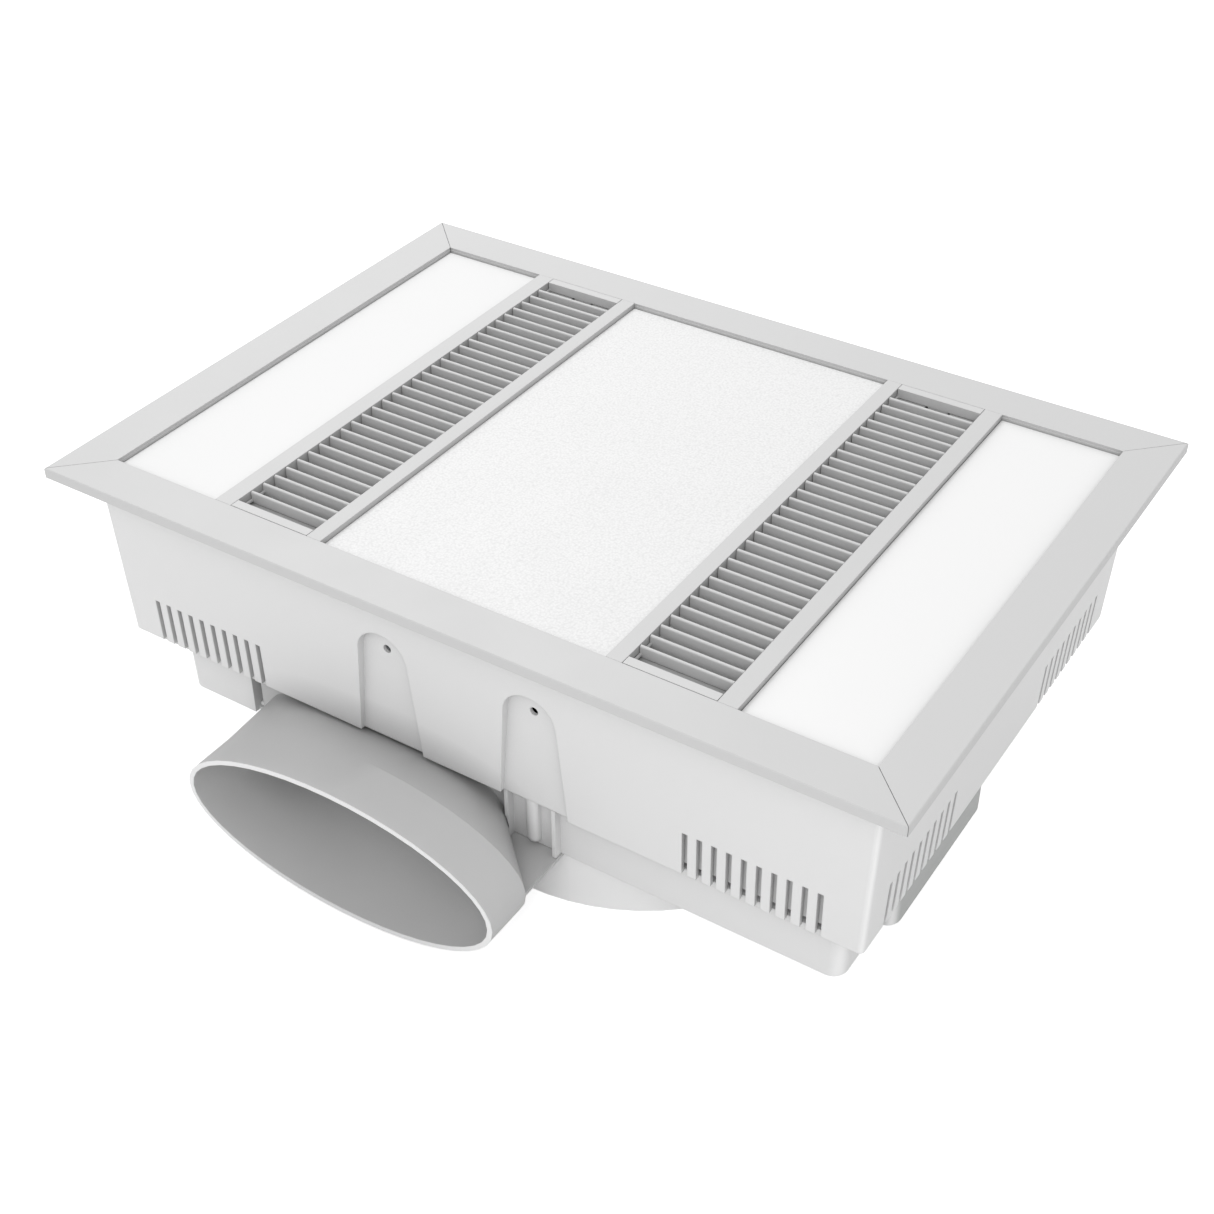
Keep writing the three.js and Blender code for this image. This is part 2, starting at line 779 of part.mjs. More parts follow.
// The hollow of an arch pocket, wider towards the outside by its draft
function pocketHollow(x) {
  const foot = sleeveBottom - cutOver;
  const ring = (grow, y) => (
    outlinePoints(archShape(x, grow, foot), archSteps).map((p) => new THREE.Vector3(p.x, y, p.y))
  );
  return loft([ring(pocketDraft, sleeveTopY + cutOver), ring(0, pocketFaceY)]);
}

function slotCentres(group) {
  const places = [];
  [-group, group].forEach((middle) => {
    for (let k = 0; k < slotCount; k += 1) {
      places.push(middle + (k - (slotCount - 1) / 2) * slotPitch);
    }
  });
  return places;
}

// Cuts of one outline in both long walls, and in both short walls
function throughY(places, width, z0, z1, reach0, reach1) {
  const half = width / 2;
  const front = joined(places.map((x) => box(x - half, x + half, reach0, reach1, z0, z1)));
  return front.add(front.mirror([0, 1, 0]));
}

function throughX(places, width, z0, z1, reach0, reach1) {
  const half = width / 2;
  const right = joined(places.map((y) => box(reach0, reach1, y - half, y + half, z0, z1)));
  return right.add(right.mirror([1, 0, 0]));
}

function housingSleeve() {
  const top = -fitGap;
  const outer = draftedBox(sleeveTopX, sleeveTopY, sleeveCorner, sleeveBottom, top);
  const innerCorner = sleeveCorner - sleeveWall + cutOver;
  const innerX = sleeveTopX - sleeveWall;
  const innerY = sleeveTopY - sleeveWall;
  const inner = draftedBox(innerX, innerY, innerCorner, sleeveBottom - cutOver, top + cutOver);
  let sleeve = outer.subtract(inner);
  [-pocketOffset, pocketOffset].forEach((x) => {
    const dentInner = pocketFaceY - pocketFloor;
    const dent = alongY(archShape(x, pocketFloor, sleeveBottom), dentInner, sleeveTopY, archSteps);
    const inside = outer.intersect(dent);
    const recess = pocketHollow(x);
    const holeZ = sleeveBottom + pocketLegHeight + pocketHoleLift;
    const hole = rodY(x, dentInner - cutOver, sleeveTopY, holeZ, pocketHoleRadius, roundSides / 2);
    sleeve = sleeve.add(inside).add(inside.mirror([0, 1, 0]));
    sleeve = sleeve.subtract(recess).subtract(recess.mirror([0, 1, 0]));
    sleeve = sleeve.subtract(hole).subtract(hole.mirror([0, 1, 0]));
  });
  const slotTop = sleeveBottom + slotHeight;
  const bottom = sleeveBottom - cutOver;
  const deepY = sleeveFootY - sleeveWall - cutOver;
  const deepX = sleeveFootX - sleeveWall - cutOver;
  sleeve = sleeve.subtract(throughY(slotCentres(slotGroupX), slotWidth, bottom, slotTop, deepY, sleeveTopY));
  sleeve = sleeve.subtract(throughX(slotCentres(slotGroupY), slotWidth, bottom, slotTop, deepX, sleeveTopX));
  return sleeve.subtract(snapBeads(fitGap));
}

// Beads on the side walls of the tub that snap into grooves of the sleeve
function snapBeads(grow) {
  const z0 = sleeveBottom + snapLift;
  const right = joined([-snapSpan, snapSpan].map((y) => box(
    tubX - tubWall / 2, tubX + tubGap + snapProud + grow,
    y - snapLength / 2 - grow, y + snapLength / 2 + grow,
    z0 - grow, z0 + snapHeight + grow,
  )));
  return right.add(right.mirror([1, 0, 0]));
}

// Fan scroll in plan: a widening spiral round the fan that opens into a straight outlet
function scrollShape(offset, front) {
  const points = [];
  for (let k = 0; k <= scrollSteps; k += 1) {
    const share = k / scrollSteps;
    const angle = share * scrollSweep - Math.PI / 2;
    const radius = scrollStart + scrollGrowth * share + offset;
    points.push([fanX + radius * Math.cos(angle), fanY + radius * Math.sin(angle)]);
  }
  const left = scrollLeftX - offset;
  points.push([left, front]);
  points.push([fanX + Math.max(offset, 0), front]);
  if (offset > 0) points.push([fanX + offset, fanY - scrollStart - offset]);
  return polygon(points);
}

function fanCasing() {
  const outer = alongZ(scrollShape(0, scrollFrontY), scrollBottom, scrollTop);
  const inner = alongZ(
    scrollShape(-scrollWall, scrollFrontY - cutOver - scrollWall), scrollFloor, scrollTop + cutOver,
  );
  const flangeZ = boxFloor + fitGap;
  const inBoxY = boxY - tubWall - fitGap;
  const flangeOutline = alongZ(scrollShape(scrollFlange, scrollFrontY), flangeZ, flangeZ + scrollFlangeThick);
  const keep = box(-tubX, tubX, scrollFrontY, inBoxY, flangeZ, flangeZ + scrollFlangeThick);
  let casing = outer.add(flangeOutline.intersect(keep)).subtract(inner);
  const bossFoot = scrollBottom + scrollWall / 2;
  for (let k = 0; k < motorMounts; k += 1) {
    const [x, y] = motorMountPlace(k);
    casing = casing.add(disc(x, y, motorBossRadius, bossFoot, motorBossTop, roundSides / 2));
    casing = casing.subtract(screwHole(x, y, scrollBottom + scrollWall, motorBossTop + cutOver));
  }
  casingScrewPlaces().forEach(([x, y]) => {
    casing = casing.subtract(screwHole(x, y, flangeZ - cutOver, flangeZ + scrollFlangeThick + cutOver));
  });
  return casing;
}

function motorMountPlace(k) {
  const angle = Math.PI / 6 + (k * Math.PI * 2) / motorMounts;
  return [fanX + motorBossSpan * Math.cos(angle), fanY + motorBossSpan * Math.sin(angle)];
}

function casingScrewPlaces() {
  return casingScrewAngles.map((degrees) => {
    const angle = THREE.MathUtils.degToRad(degrees);
    const share = (angle + Math.PI / 2) / scrollSweep;
    const radius = scrollStart + scrollGrowth * share + scrollFlange / 2;
    return [fanX + radius * Math.cos(angle), fanY + radius * Math.sin(angle)];
  });
}

function casingScrews() {
  const seat = boxFloor + fitGap * 2 + scrollFlangeThick;
  const headRadius = scrollFlange / 2 - fitGap;
  return casingScrewPlaces().map(([x, y]) => screw(x, y, seat, boxBottom + fitGap, headRadius));
}

// Tub: upper wall inside the sleeve, shoulder, and lower box with its openings
function lowerBoxBlock(inset, z0, z1, stretch) {
  const lean = (z) => (boxDraft * (shoulderTop - z)) / (shoulderTop - boxBottom);
  const ring = (z) => {
    const x0 = boxLeft + inset + lean(z);
    const x1 = boxRight - inset - lean(z);
    const half = boxY - inset;
    const radius = boxCorner - inset;
    const points = outlinePoints(roundedRect(x0, x1, -half, half, radius), drawnSteps);
    return points.map((p) => new THREE.Vector3(p.x, p.y, z));
  };
  return loft([ring(z0), ring(z1 + stretch)]);
}

function housingTub() {
  const rimTop = sleeveBottom + tubRise;
  const plan = (inset) => roundedRect(
    -tubX + inset, tubX - inset, -tubY + inset, tubY - inset, tubCorner - inset / 2,
  );
  const wall = alongZ(plan(0), shoulderBottom, rimTop).subtract(
    alongZ(plan(tubWall), shoulderBottom - cutOver, rimTop + cutOver),
  );
  const lowerOuter = lowerBoxBlock(0, boxBottom, shoulderTop, 0);
  const lowerInner = lowerBoxBlock(tubWall, boxFloor, shoulderTop, cutOver);
  const shoulder = alongZ(plan(0), shoulderBottom, shoulderTop);
  let tub = joined([wall, lowerOuter, shoulder]).subtract(lowerInner);

  const inY = boxY - tubWall;
  const jambX0 = -ductOpeningLeft - tubWall;
  const jambY1 = jambReturn - inY;
  tub = tub.add(box(jambX0, -ductOpeningLeft, -inY - tubWall / 2, jambY1, boxBottom, shoulderBottom));
  [[boxLeft, 1], [boxRight, -1]].forEach(([wallX, inward]) => {
    [-1, 1].forEach((side) => {
      const [x, y] = cornerPostPlace(wallX, inward, side);
      const post = disc(x, y, cornerPostRadius, boxBottom + tubWall / 2, scrollTop, roundSides / 2);
      const pilot = screwHole(x, y, scrollTop - pilotDepth, scrollTop + cutOver);
      tub = tub.add(post).subtract(pilot);
    });
  });

  const floorHole = alongZ(
    scrollShape(tubGap, -tubY - cutOver), boxBottom - cutOver, boxFloor + cutOver,
  );
  const opening = box(
    -ductOpeningLeft, ductOpeningRight, -boxY - cutOver, cutOver - inY, boxBottom - cutOver, shoulderBottom,
  );
  const flangeRoom = box(
    scrollLeftX - fitGap * 2, fanX, baseY - fitGap, cutOver - inY, shoulderBottom - cutOver, scrollTop,
  );
  tub = tub.subtract(floorHole).subtract(opening).subtract(flangeRoom);

  [-pocketOffset, pocketOffset].forEach((x) => {
    const grow = pocketFloor + tubGap;
    const inside = tubY - tubWall - cutOver;
    const under = pocketFaceY - grow;
    const notch = alongY(archShape(x, grow, shoulderTop), inside, tubY + cutOver, archSteps);
    const relief = alongY(archShape(x, grow, shoulderBottom - cutOver), under, tubY + cutOver, archSteps);
    const cuts = notch.add(relief);
    tub = tub.subtract(cuts).subtract(cuts.mirror([0, 1, 0]));
  });
  const ventBottom = sleeveBottom + ventLift;
  const ventTop = ventBottom + ventHeight;
  const deepY = tubY - tubWall - cutOver;
  const deepX = tubX - tubWall - cutOver;
  const ventLength = slotPitch * slotCount;
  const ventsX = [-slotGroupX, slotGroupX];
  const ventsY = [-slotGroupY, slotGroupY];
  tub = tub.subtract(throughY(ventsX, ventLength, ventBottom, ventTop, deepY, tubY + cutOver));
  tub = tub.subtract(throughX(ventsY, ventLength, ventBottom, ventTop, deepX, tubX + cutOver));
  casingScrewPlaces().forEach(([x, y]) => {
    tub = tub.subtract(screwHole(x, y, boxBottom - cutOver, boxFloor + cutOver));
  });
  tub = tub.subtract(terminalBlank(tubGap));
  return joined([tub, frontRibs(), snapBeads(0), capacitorCradles()]);
}

// Upright ribs and a blind screw post beside the duct opening, clear of the duct
function frontRibs() {
  const y0 = -boxY - jambRibProud;
  const y1 = tubWall / 2 - boxY;
  const half = jambRibWidth / 2;
  const top = sleeveBottom - fitGap;
  const outer = box(jambRibX - half, jambRibX + half, y0, y1, boxBottom, top);
  const inner = box(ductOpeningRight, ductOpeningRight + jambRibWidth, y0, y1, boxBottom, top);
  const postZ = boxBottom + screwPostLift + screwPostRadius;
  const geometry = new THREE.SphereGeometry(screwPostRadius, roundSides / 2, roundSides / 4);
  geometry.rotateX(Math.PI / 2);
  geometry.translate(screwPostX, -boxY, postZ);
  const tip = solid(geometry);
  const post = disc(screwPostX, -boxY, screwPostRadius, postZ, top, roundSides / 2);
  const inBox = box(-tubX, tubX, y0 - cutOver, y1, boxBottom, top);
  const ductRoom = ductBlock(-fitGap * 2, collarStartY, baseY);
  return joined([outer, inner, tip.add(post).intersect(inBox)]).subtract(ductRoom);
}

function cornerPostPlace(wallX, inward, side) {
  return [wallX + inward * (cornerPostInset + tubWall), side * (boxY - tubWall - cornerPostInset)];
}

// Terminal box: a drawn box let into the right wall and floor of the lower box
function terminalBlank(grow) {
  const outer = terminalOuter + grow + cutOver;
  const shape = roundedRect(
    terminalInner - grow, outer, -terminalFront - grow, terminalBack + grow, boxCorner,
  );
  return alongZ(shape, boxBottom - cutOver, terminalTop + coverThick + fitGap * 2, drawnSteps);
}

function terminalBox() {
  const plan = (inset) => roundedRect(
    terminalInner + inset, terminalOuter - inset, -terminalFront + inset, terminalBack - inset,
    boxCorner - inset,
  );
  const outer = alongZ(plan(0), boxBottom, terminalTop, drawnSteps);
  const inner = alongZ(plan(terminalWall), boxBottom + terminalWall, terminalTop + cutOver, drawnSteps);
  const lipZ = boxFloor + fitGap;
  const lip = alongZ(roundedRect(
    terminalInner - terminalLip, terminalInner + boxCorner * 2,
    -terminalFront - terminalLip, terminalBack + terminalLip, boxCorner,
  ), lipZ, lipZ + terminalWall, drawnSteps);
  const wallTop = boxBottom + terminalWall + cutOver;
  const hole = disc(glandX, glandY, glandThread + fitGap, boxBottom - cutOver, wallTop);
  return outer.add(lip).subtract(inner).subtract(hole);
}

function terminalCover() {
  const z = terminalTop + fitGap;
  const shape = roundedRect(terminalInner, terminalOuter, -terminalFront, terminalBack, boxCorner);
  return alongZ(shape, z, z + coverThick, drawnSteps);
}

function terminalBlock() {
  const x = glandX;
  const z = boxBottom + terminalWall + fitGap;
  const y0 = boxCorner + terminalWall - terminalFront;
  const half = terminalBlockWidth / 2;
  const bodyHeight = terminalBlockHeight * blockShares.body;
  let block = box(x - half, x + half, y0, y0 + terminalBlockLength, z, z + bodyHeight);
  const pitch = terminalBlockLength / terminalWays;
  for (let k = 0; k < terminalWays; k += 1) {
    const y = y0 + pitch * k + pitch / 2;
    const towerX = half * blockShares.tower;
    const towerY = (pitch / 2) * blockShares.tower;
    const tower = box(x - towerX, x + towerX, y - towerY, y + towerY, z, z + terminalBlockHeight);
    const wellRadius = towerX * blockShares.well;
    const wellTop = z + terminalBlockHeight + cutOver;
    const well = disc(x, y, wellRadius, z + terminalBlockHeight / 2, wellTop, screwSides);
    block = block.add(tower).subtract(well);
  }
  return block;
}

function hexagon(x, y, radius, z0, z1) {
  return disc(x, y, radius, z0, z1, hexSides);
}

function cableGland() {
  const seat = boxBottom - fitGap;
  const hexBottom = seat - glandHexHeight;
  const domeBottom = hexBottom - glandDomeHeight;
  const threadTop = boxBottom + terminalWall + glandNutHeight + fitGap * 2;
  const dome = turned([
    [0, domeBottom],
    ...domeShares.map(([out, up]) => [glandDome * out, domeBottom + glandDomeHeight * up]),
    [glandDome, hexBottom + fitGap],
    [0, hexBottom + fitGap],
  ], glandX, glandY, roundSides / 2);
  const thread = disc(glandX, glandY, glandThread, seat - fitGap, threadTop);
  const bore = disc(glandX, glandY, glandBore, domeBottom - cutOver, threadTop + cutOver, roundSides / 2);
  return joined([dome, hexagon(glandX, glandY, glandHex, hexBottom, seat), thread]).subtract(bore);
}

function glandNut() {
  const z = boxBottom + terminalWall + fitGap;
  const top = z + glandNutHeight;
  const body = hexagon(glandX, glandY, glandHex, z, top);
  return body.subtract(disc(glandX, glandY, glandThread + fitGap, z - cutOver, top + cutOver));
}

function ledDriver() {
  const z = boxFloor + fitGap;
  const x0 = boxLeft + tubWall + boxDraft + fitGap * 2;
  const y1 = driverLength / 2;
  const top = z + driverHeight;
  let body = alongY(roundedRect(x0, x0 + driverWidth, z, top, driverRadius), -y1, y1);
  const pitch = driverWidth / (driverGrooves + 1);
  for (let k = 1; k <= driverGrooves; k += 1) {
    const x = x0 + pitch * k;
    const half = driverGroove / 2;
    const groove = box(x - half, x + half, -y1 - cutOver, y1 + cutOver, top - driverGroove, top + cutOver);
    body = body.subtract(groove);
  }
  return body;
}

function capacitorPlace() {
  const x = boxRight - tubWall - boxDraft - capacitorRadius - fitGap * 2;
  return [x, boxFloor + tubWall + capacitorRadius];
}

function runCapacitor() {
  const [x, z] = capacitorPlace();
  const half = capacitorLength / 2;
  const end = capacitorY - half;
  const can = rodY(x, end, capacitorY + half, z, capacitorRadius, roundSides / 2);
  const tabs = [-1, 1].map((side) => {
    const tabX = x + side * tabSpan - tabWidth / 2;
    const tabZ = z - tabThick / 2;
    return box(tabX, tabX + tabWidth, end - tabLength, end + cutOver, tabZ, tabZ + tabThick);
  });
  return joined([can, ...tabs]);
}

// Two cradles moulded on the floor of the tub grip the capacitor
function capacitorCradles() {
  const [x, z] = capacitorPlace();
  const half = capacitorRadius + tubWall;
  const block = joined([-1, 1].map((side) => {
    const y = capacitorY + (side * cradleSpan) / 2;
    return box(x - half, x + capacitorRadius, y - cradleThick / 2, y + cradleThick / 2, boxFloor - fitGap, z);
  }));
  const ends = capacitorLength / 2 + cutOver;
  const bore = rodY(x, capacitorY - ends, capacitorY + ends, z, capacitorRadius + fitGap, roundSides / 2);
  return block.subtract(bore);
}

// Inlet plate over the lower box, and the bellmouth that leads the air into the fan
function inletPlate() {
  const inset = tubWall + boxDraft;
  const half = boxY - tubWall - fitGap;
  const z0 = inletPlateBottom - cutOver;
  const z1 = inletPlateTop + cutOver;
  const shape = roundedRect(boxLeft + inset, boxRight - inset, -half, half, boxCorner - tubWall);
  let plate = alongZ(shape, inletPlateBottom, inletPlateTop);
  plate = plate.subtract(disc(fanX, fanY, bellFlat + fitGap, z0, z1, bellSides));
  platePlaces().forEach(([x, y]) => {
    plate = plate.subtract(screwHole(x, y, z0, z1));
  });
  return plate;
}

function platePlaces() {
  const places = [];
  [[boxLeft, 1], [boxRight, -1]].forEach(([wallX, inward]) => {
    [-1, 1].forEach((side) => places.push(cornerPostPlace(wallX, inward, side)));
  });
  return places;
}

function plateScrews() {
  return platePlaces().map(([x, y]) => screw(x, y, inletPlateTop + fitGap, scrollTop - pilotDepth + fitGap));
}

function inletBellmouth() {
  const seat = inletPlateTop + fitGap;
  const lip = seat + bellWall;
  const outerArc = [];
  const innerArc = [];
  for (let k = 0; k <= bellSteps; k += 1) {
    const angle = ((Math.PI / 2) * k) / bellSteps;
    outerArc.push([bellFlat - bellCurve * Math.sin(angle), lip - bellCurve + bellCurve * Math.cos(angle)]);
    const under = bellCurve - bellWall;
    innerArc.push([bellFlat - under * Math.sin(angle), lip - bellCurve + under * Math.cos(angle)]);
  }
  const foot = lip - bellDip;
  return turned([
    [bellRim, lip],
    ...outerArc,
    [bellThroat, foot],
    [bellThroat + bellWall, foot],
    ...innerArc.reverse(),
    [bellRim, seat],
  ], fanX, fanY, bellSides);
}

// Duct adapter: ring of its passage at a share of the way from base to collar
function ductRing(share, y, inset) {
  const points = [];
  const baseHalfX = (baseLeft + baseRight) / 2 - inset;
  const baseMidX = (baseRight - baseLeft) / 2;
  const baseHalfZ = (baseTop - baseBottom) / 2 - inset;
  const baseMidZ = (baseTop + baseBottom) / 2;
  for (let k = 0; k < ductSides; k += 1) {
    const angle = (k * Math.PI * 2) / ductSides;
    const c = Math.cos(angle);
    const s = Math.sin(angle);
    const bx = baseMidX + baseHalfX * Math.sign(c) * Math.abs(c) ** baseCornerShare;
    const bz = baseMidZ + baseHalfZ * Math.sign(s) * Math.abs(s) ** baseCornerShare;
    const ex = collarX + (collarHalfWidth - inset) * c;
    const ez = collarZ + (collarHalfHeight - inset) * s;
    points.push(new THREE.Vector3(bx + (ex - bx) * share, y, bz + (ez - bz) * share));
  }
  return points;
}

function ductBlock(inset, y0, y1) {
  const shareAt = (y) => Math.min(Math.max((baseY - y) / (baseY - collarStartY), 0), 1);
  const stations = [y1, baseY, collarStartY, y0].filter((y) => y <= y1 && y >= y0);
  const rings = [...new Set(stations)].map((y) => ductRing(shareAt(y), y, inset));
  return loft(rings);
}

function ductAdapter() {
  const outer = ductBlock(0, collarEndY, baseY);
  const flange = box(
    scrollLeftX - fitGap / 2, fanX - fitGap, baseY, baseY + adapterFlange,
    scrollBottom + fitGap, scrollTop - fitGap,
  );
  const gussetTop = boxBottom - fitGap;
  const gussetX = collarX + collarHalfWidth - gussetInset;
  const gusset = box(0, gussetX, collarStartY, baseY, gussetTop - gussetThick, gussetTop);
  const passage = ductBlock(ductWall, collarEndY - cutOver, baseY + adapterFlange + cutOver);
  const [pinY, pinZ] = flapPivot();
  const pinEnd = ductWall + cutOver;
  const pinHole = rodX(
    -baseLeft - pinEnd, baseRight + pinEnd * 2, pinY, pinZ, flapPinRadius + fitGap, roundSides / 2,
  );
  return joined([outer, flange, gusset]).subtract(passage).subtract(pinHole);
}

function flapPivot() {
  return [baseY - flapInset - flapThick / 2, (baseTop + baseBottom) / 2 - flapPivotDrop];
}

function backdraftFlap() {
  const [pinY, pinZ] = flapPivot();
  const y0 = pinY - flapThick / 2;
  const y1 = pinY + flapThick / 2;
  const share = (baseY - y1) / (baseY - collarStartY);
  const outline = ductRing(share, y0, ductWall + flapClear);
  const plate = loft([outline.map((p) => new THREE.Vector3(p.x, y1, p.z)), outline]);
  const left = -baseLeft + ductWall + flapClear + fitGap;
  const right = baseRight - ductWall - flapClear - fitGap;
  const sleeve = rodX(left + flapNotchLength, right, pinY, pinZ, flapSleeveRadius, roundSides / 2);
  const beyond = ductWall + cutOver;
  const bore = rodX(left - beyond, right + beyond, pinY, pinZ, flapPinRadius + fitGap, roundSides / 2);
  const notch = box(
    left - beyond, left + flapNotchLength, y0 - cutOver, y1 + cutOver,
    pinZ - flapNotchHalf, pinZ + flapNotchHalf,
  );
  return plate.subtract(notch).add(sleeve).subtract(bore);
}

function flapPin() {
  const [pinY, pinZ] = flapPivot();
  return rodX(-baseLeft - fitGap, baseRight + ductWall / 2, pinY, pinZ, flapPinRadius, roundSides / 2);
}

// Torsion spring: an open coil round the pin in the notch of the flap
function flapSpring() {
  const [pinY, pinZ] = flapPivot();
  const coil = flapPinRadius + fitGap * 2 + springWire;
  const x0 = -baseLeft + ductWall + flapClear + fitGap * 3;
  const run = flapNotchLength - flapClear - fitGap * 4;
  const points = [];
  for (let k = 0; k <= springTurns * springTurnSteps; k += 1) {
    const angle = (k * Math.PI * 2) / springTurnSteps;
    const x = x0 + (run * k) / (springTurns * springTurnSteps);
    points.push(new THREE.Vector3(x, pinY + coil * Math.cos(angle), pinZ + coil * Math.sin(angle)));
  }
  const path = new THREE.CatmullRomCurve3(points);
  const section = new THREE.Shape();
  section.absarc(0, 0, springWire, 0, Math.PI * 2);
  const steps = springTurns * springTurnSteps;
  return solid(new THREE.ExtrudeGeometry(section, {
    steps, extrudePath: path, curveSegments: cornerSteps,
  }));
}

// Fan wheel: forward curved blades between a back plate and a front ring
function fanWheel() {
  const z0 = wheelZ;
  const z1 = z0 + wheelHeight;
  const hubInner = canRadius + fitGap;
  const plate = ringZ(fanX, fanY, hubInner, wheelRadius, z0, z0 + wheelPlate, bellSides);
  const hub = ringZ(fanX, fanY, hubInner, hubInner + wheelHubWall, z0, z0 + wheelHubHeight, bellSides);
  const ring = ringZ(fanX, fanY, wheelInner, wheelRadius, z1 - wheelRing, z1, bellSides);
  const blade = wheelBlade(z0 + wheelPlate / 2, z1 - wheelRing / 2);
  const pieces = [plate, hub, ring];
  for (let k = 0; k < wheelBladeCount; k += 1) {
    pieces.push(turnedZ(blade, (fullTurn * k) / wheelBladeCount).translate([fanX, fanY, 0]));
  }
  return joined(pieces);
}

function wheelBlade(z0, z1) {
  const depth = wheelRadius - wheelInner - wheelRing;
  const points = [];
  const back = [];
  for (let k = 0; k <= cornerSteps; k += 1) {
    const share = k / cornerSteps;
    const radius = wheelInner + wheelRing / 2 + depth * share;
    const lean = (depth * wheelLeanShare * share * share) / radius;
    const half = wheelBladeThick / 2 / radius;
    points.push([radius * Math.cos(lean - half), radius * Math.sin(lean - half)]);
    back.unshift([radius * Math.cos(lean + half), radius * Math.sin(lean + half)]);
  }
  return alongZ(polygon([...points, ...back]), z0, z1);
}

// Motor: fixed mount, bearings, stack and windings inside a turning can
function motorMount() {
  const z0 = motorBaseZ;
  const seat = bearingRadius + fitGap;
  const deep = bearingHeight + fitGap;
  let mount = turned([
    [seat, z0],
    [motorBaseRadius, z0],
    [motorBaseRadius, z0 + motorBaseThick],
    [motorPostRadius, z0 + motorBaseThick],
    [motorPostRadius, motorPostTop],
    [seat, motorPostTop],
    [seat, motorPostTop - deep],
    [shaftShoulder, motorPostTop - deep],
    [shaftShoulder, z0 + deep],
    [seat, z0 + deep],
  ], fanX, fanY, motorSides);
  for (let k = 0; k < motorMounts; k += 1) {
    const [x, y] = motorMountPlace(k);
    mount = mount.subtract(screwHole(x, y, z0 - cutOver, z0 + motorBaseThick + cutOver));
  }
  return mount;
}

function motorScrews() {
  const seat = motorBaseZ + motorBaseThick + fitGap;
  const places = Array.from({ length: motorMounts }, (_, k) => motorMountPlace(k));
  return places.map(([x, y]) => screw(x, y, seat, scrollFloor + fitGap));
}

function bearing(z0) {
  const inner = shaftRadius + fitGap;
  return ringZ(fanX, fanY, inner, bearingRadius, z0, z0 + bearingHeight, motorSides);
}

function slotRods(radius, z0, z1) {
  const pieces = [];
  for (let k = 0; k < windingSlots; k += 1) {
    const angle = (k * Math.PI * 2) / windingSlots;
    const x = fanX + windingSlotRing * Math.cos(angle);
    const y = fanY + windingSlotRing * Math.sin(angle);
    pieces.push(disc(x, y, radius, z0, z1, screwSides));
  }
  return joined(pieces);
}

function statorStack() {
  const z1 = stackZ + stackHeight;
  const stack = ringZ(fanX, fanY, motorPostRadius + fitGap, stackRadius, stackZ, z1, motorSides);
  return stack.subtract(slotRods(windingSlotRadius, stackZ - cutOver, z1 + cutOver));
}

// End turns above and below the stack, joined by the copper that fills its slots
function statorWindings() {
  const step = windingHeight / 3;
  const endTurns = (z) => turned([
    [windingInner, z],
    [windingRadius - step, z],
    [windingRadius, z + step],
    [windingRadius, z + step * 2],
    [windingRadius - step, z + windingHeight],
    [windingInner, z + windingHeight],
  ], fanX, fanY, motorSides);
  const lower = stackZ - fitGap - windingHeight;
  const upper = stackZ + stackHeight + fitGap;
  const rods = slotRods(windingSlotRadius - fitGap * 2, lower + step, upper + step);
  return joined([endTurns(lower), endTurns(upper), rods]);
}

function rotorCan() {
  const z0 = canTop - canHeight;
  const hole = shaftRadius + fitGap;
  return turned([
    [hole, canTop],
    [canRadius, canTop],
    [canRadius, z0],
    [canRadius - canWall, z0],
    [canRadius - canWall, canTop - canWall],
    [hole, canTop - canWall],
  ], fanX, fanY, bellSides);
}

function rotorMagnet() {
  const outer = canRadius - canWall - fitGap;
  return ringZ(fanX, fanY, outer - magnetThick, outer, stackZ, stackZ + stackHeight, bellSides);
}

function motorShaft() {
  const top = canTop + shaftNutHeight + fitGap * 3;
  return disc(fanX, fanY, shaftRadius, motorBaseZ - fitGap, top, motorSides);
}

function rotorNut() {
  const z = canTop + fitGap;
  const top = z + shaftNutHeight;
  const body = hexagon(fanX, fanY, shaftNutRadius, z, top);
  return body.subtract(disc(fanX, fanY, shaftRadius + fitGap, z - cutOver, top + cutOver, motorSides));
}

// Finishes
const whitePaint = finish(0xd9dada, 0.42);
const louvreWhite = finish(0xd5d6d6, 0.45);
const opal = finish(0xf7f8f8, 0.35);
const stippled = finish(0xf1f2f2, 0.55);
const housingWhite = finish(0xdddfde, 0.5);
const tubWhite = finish(0xd3d5d4, 0.5);
const ductGrey = finish(0xc4c6c5, 0.5);
const boxGrey = finish(0xaeb1af, 0.45, 0.2);
const sheetSteel = finish(0xb9bcbe, 0.35, 0.8);
const boardWhite = finish(0xe9ebe8, 0.6);
const steel = finish(0x9fa3a6, 0.3, 0.9);
const blackPlastic = finish(0x2b2c2e, 0.5);
const copper = finish(0xb06f3a, 0.35, 0.9);
const magnetGrey = finish(0x4a4c50, 0.5, 0.4);
const cableGrey = finish(0x8d9092, 0.5);

// Assembly
const unit = new THREE.Group();
const bearingLow = motorBaseZ + fitGap / 2;
const bearingHigh = motorPostTop - bearingHeight;

// Like pieces each get their own numbered mesh
function numbered(name, bodies, material) {
  return bodies.map((body, k) => mesh(`${name}_${k + 1}`, body, material));
}

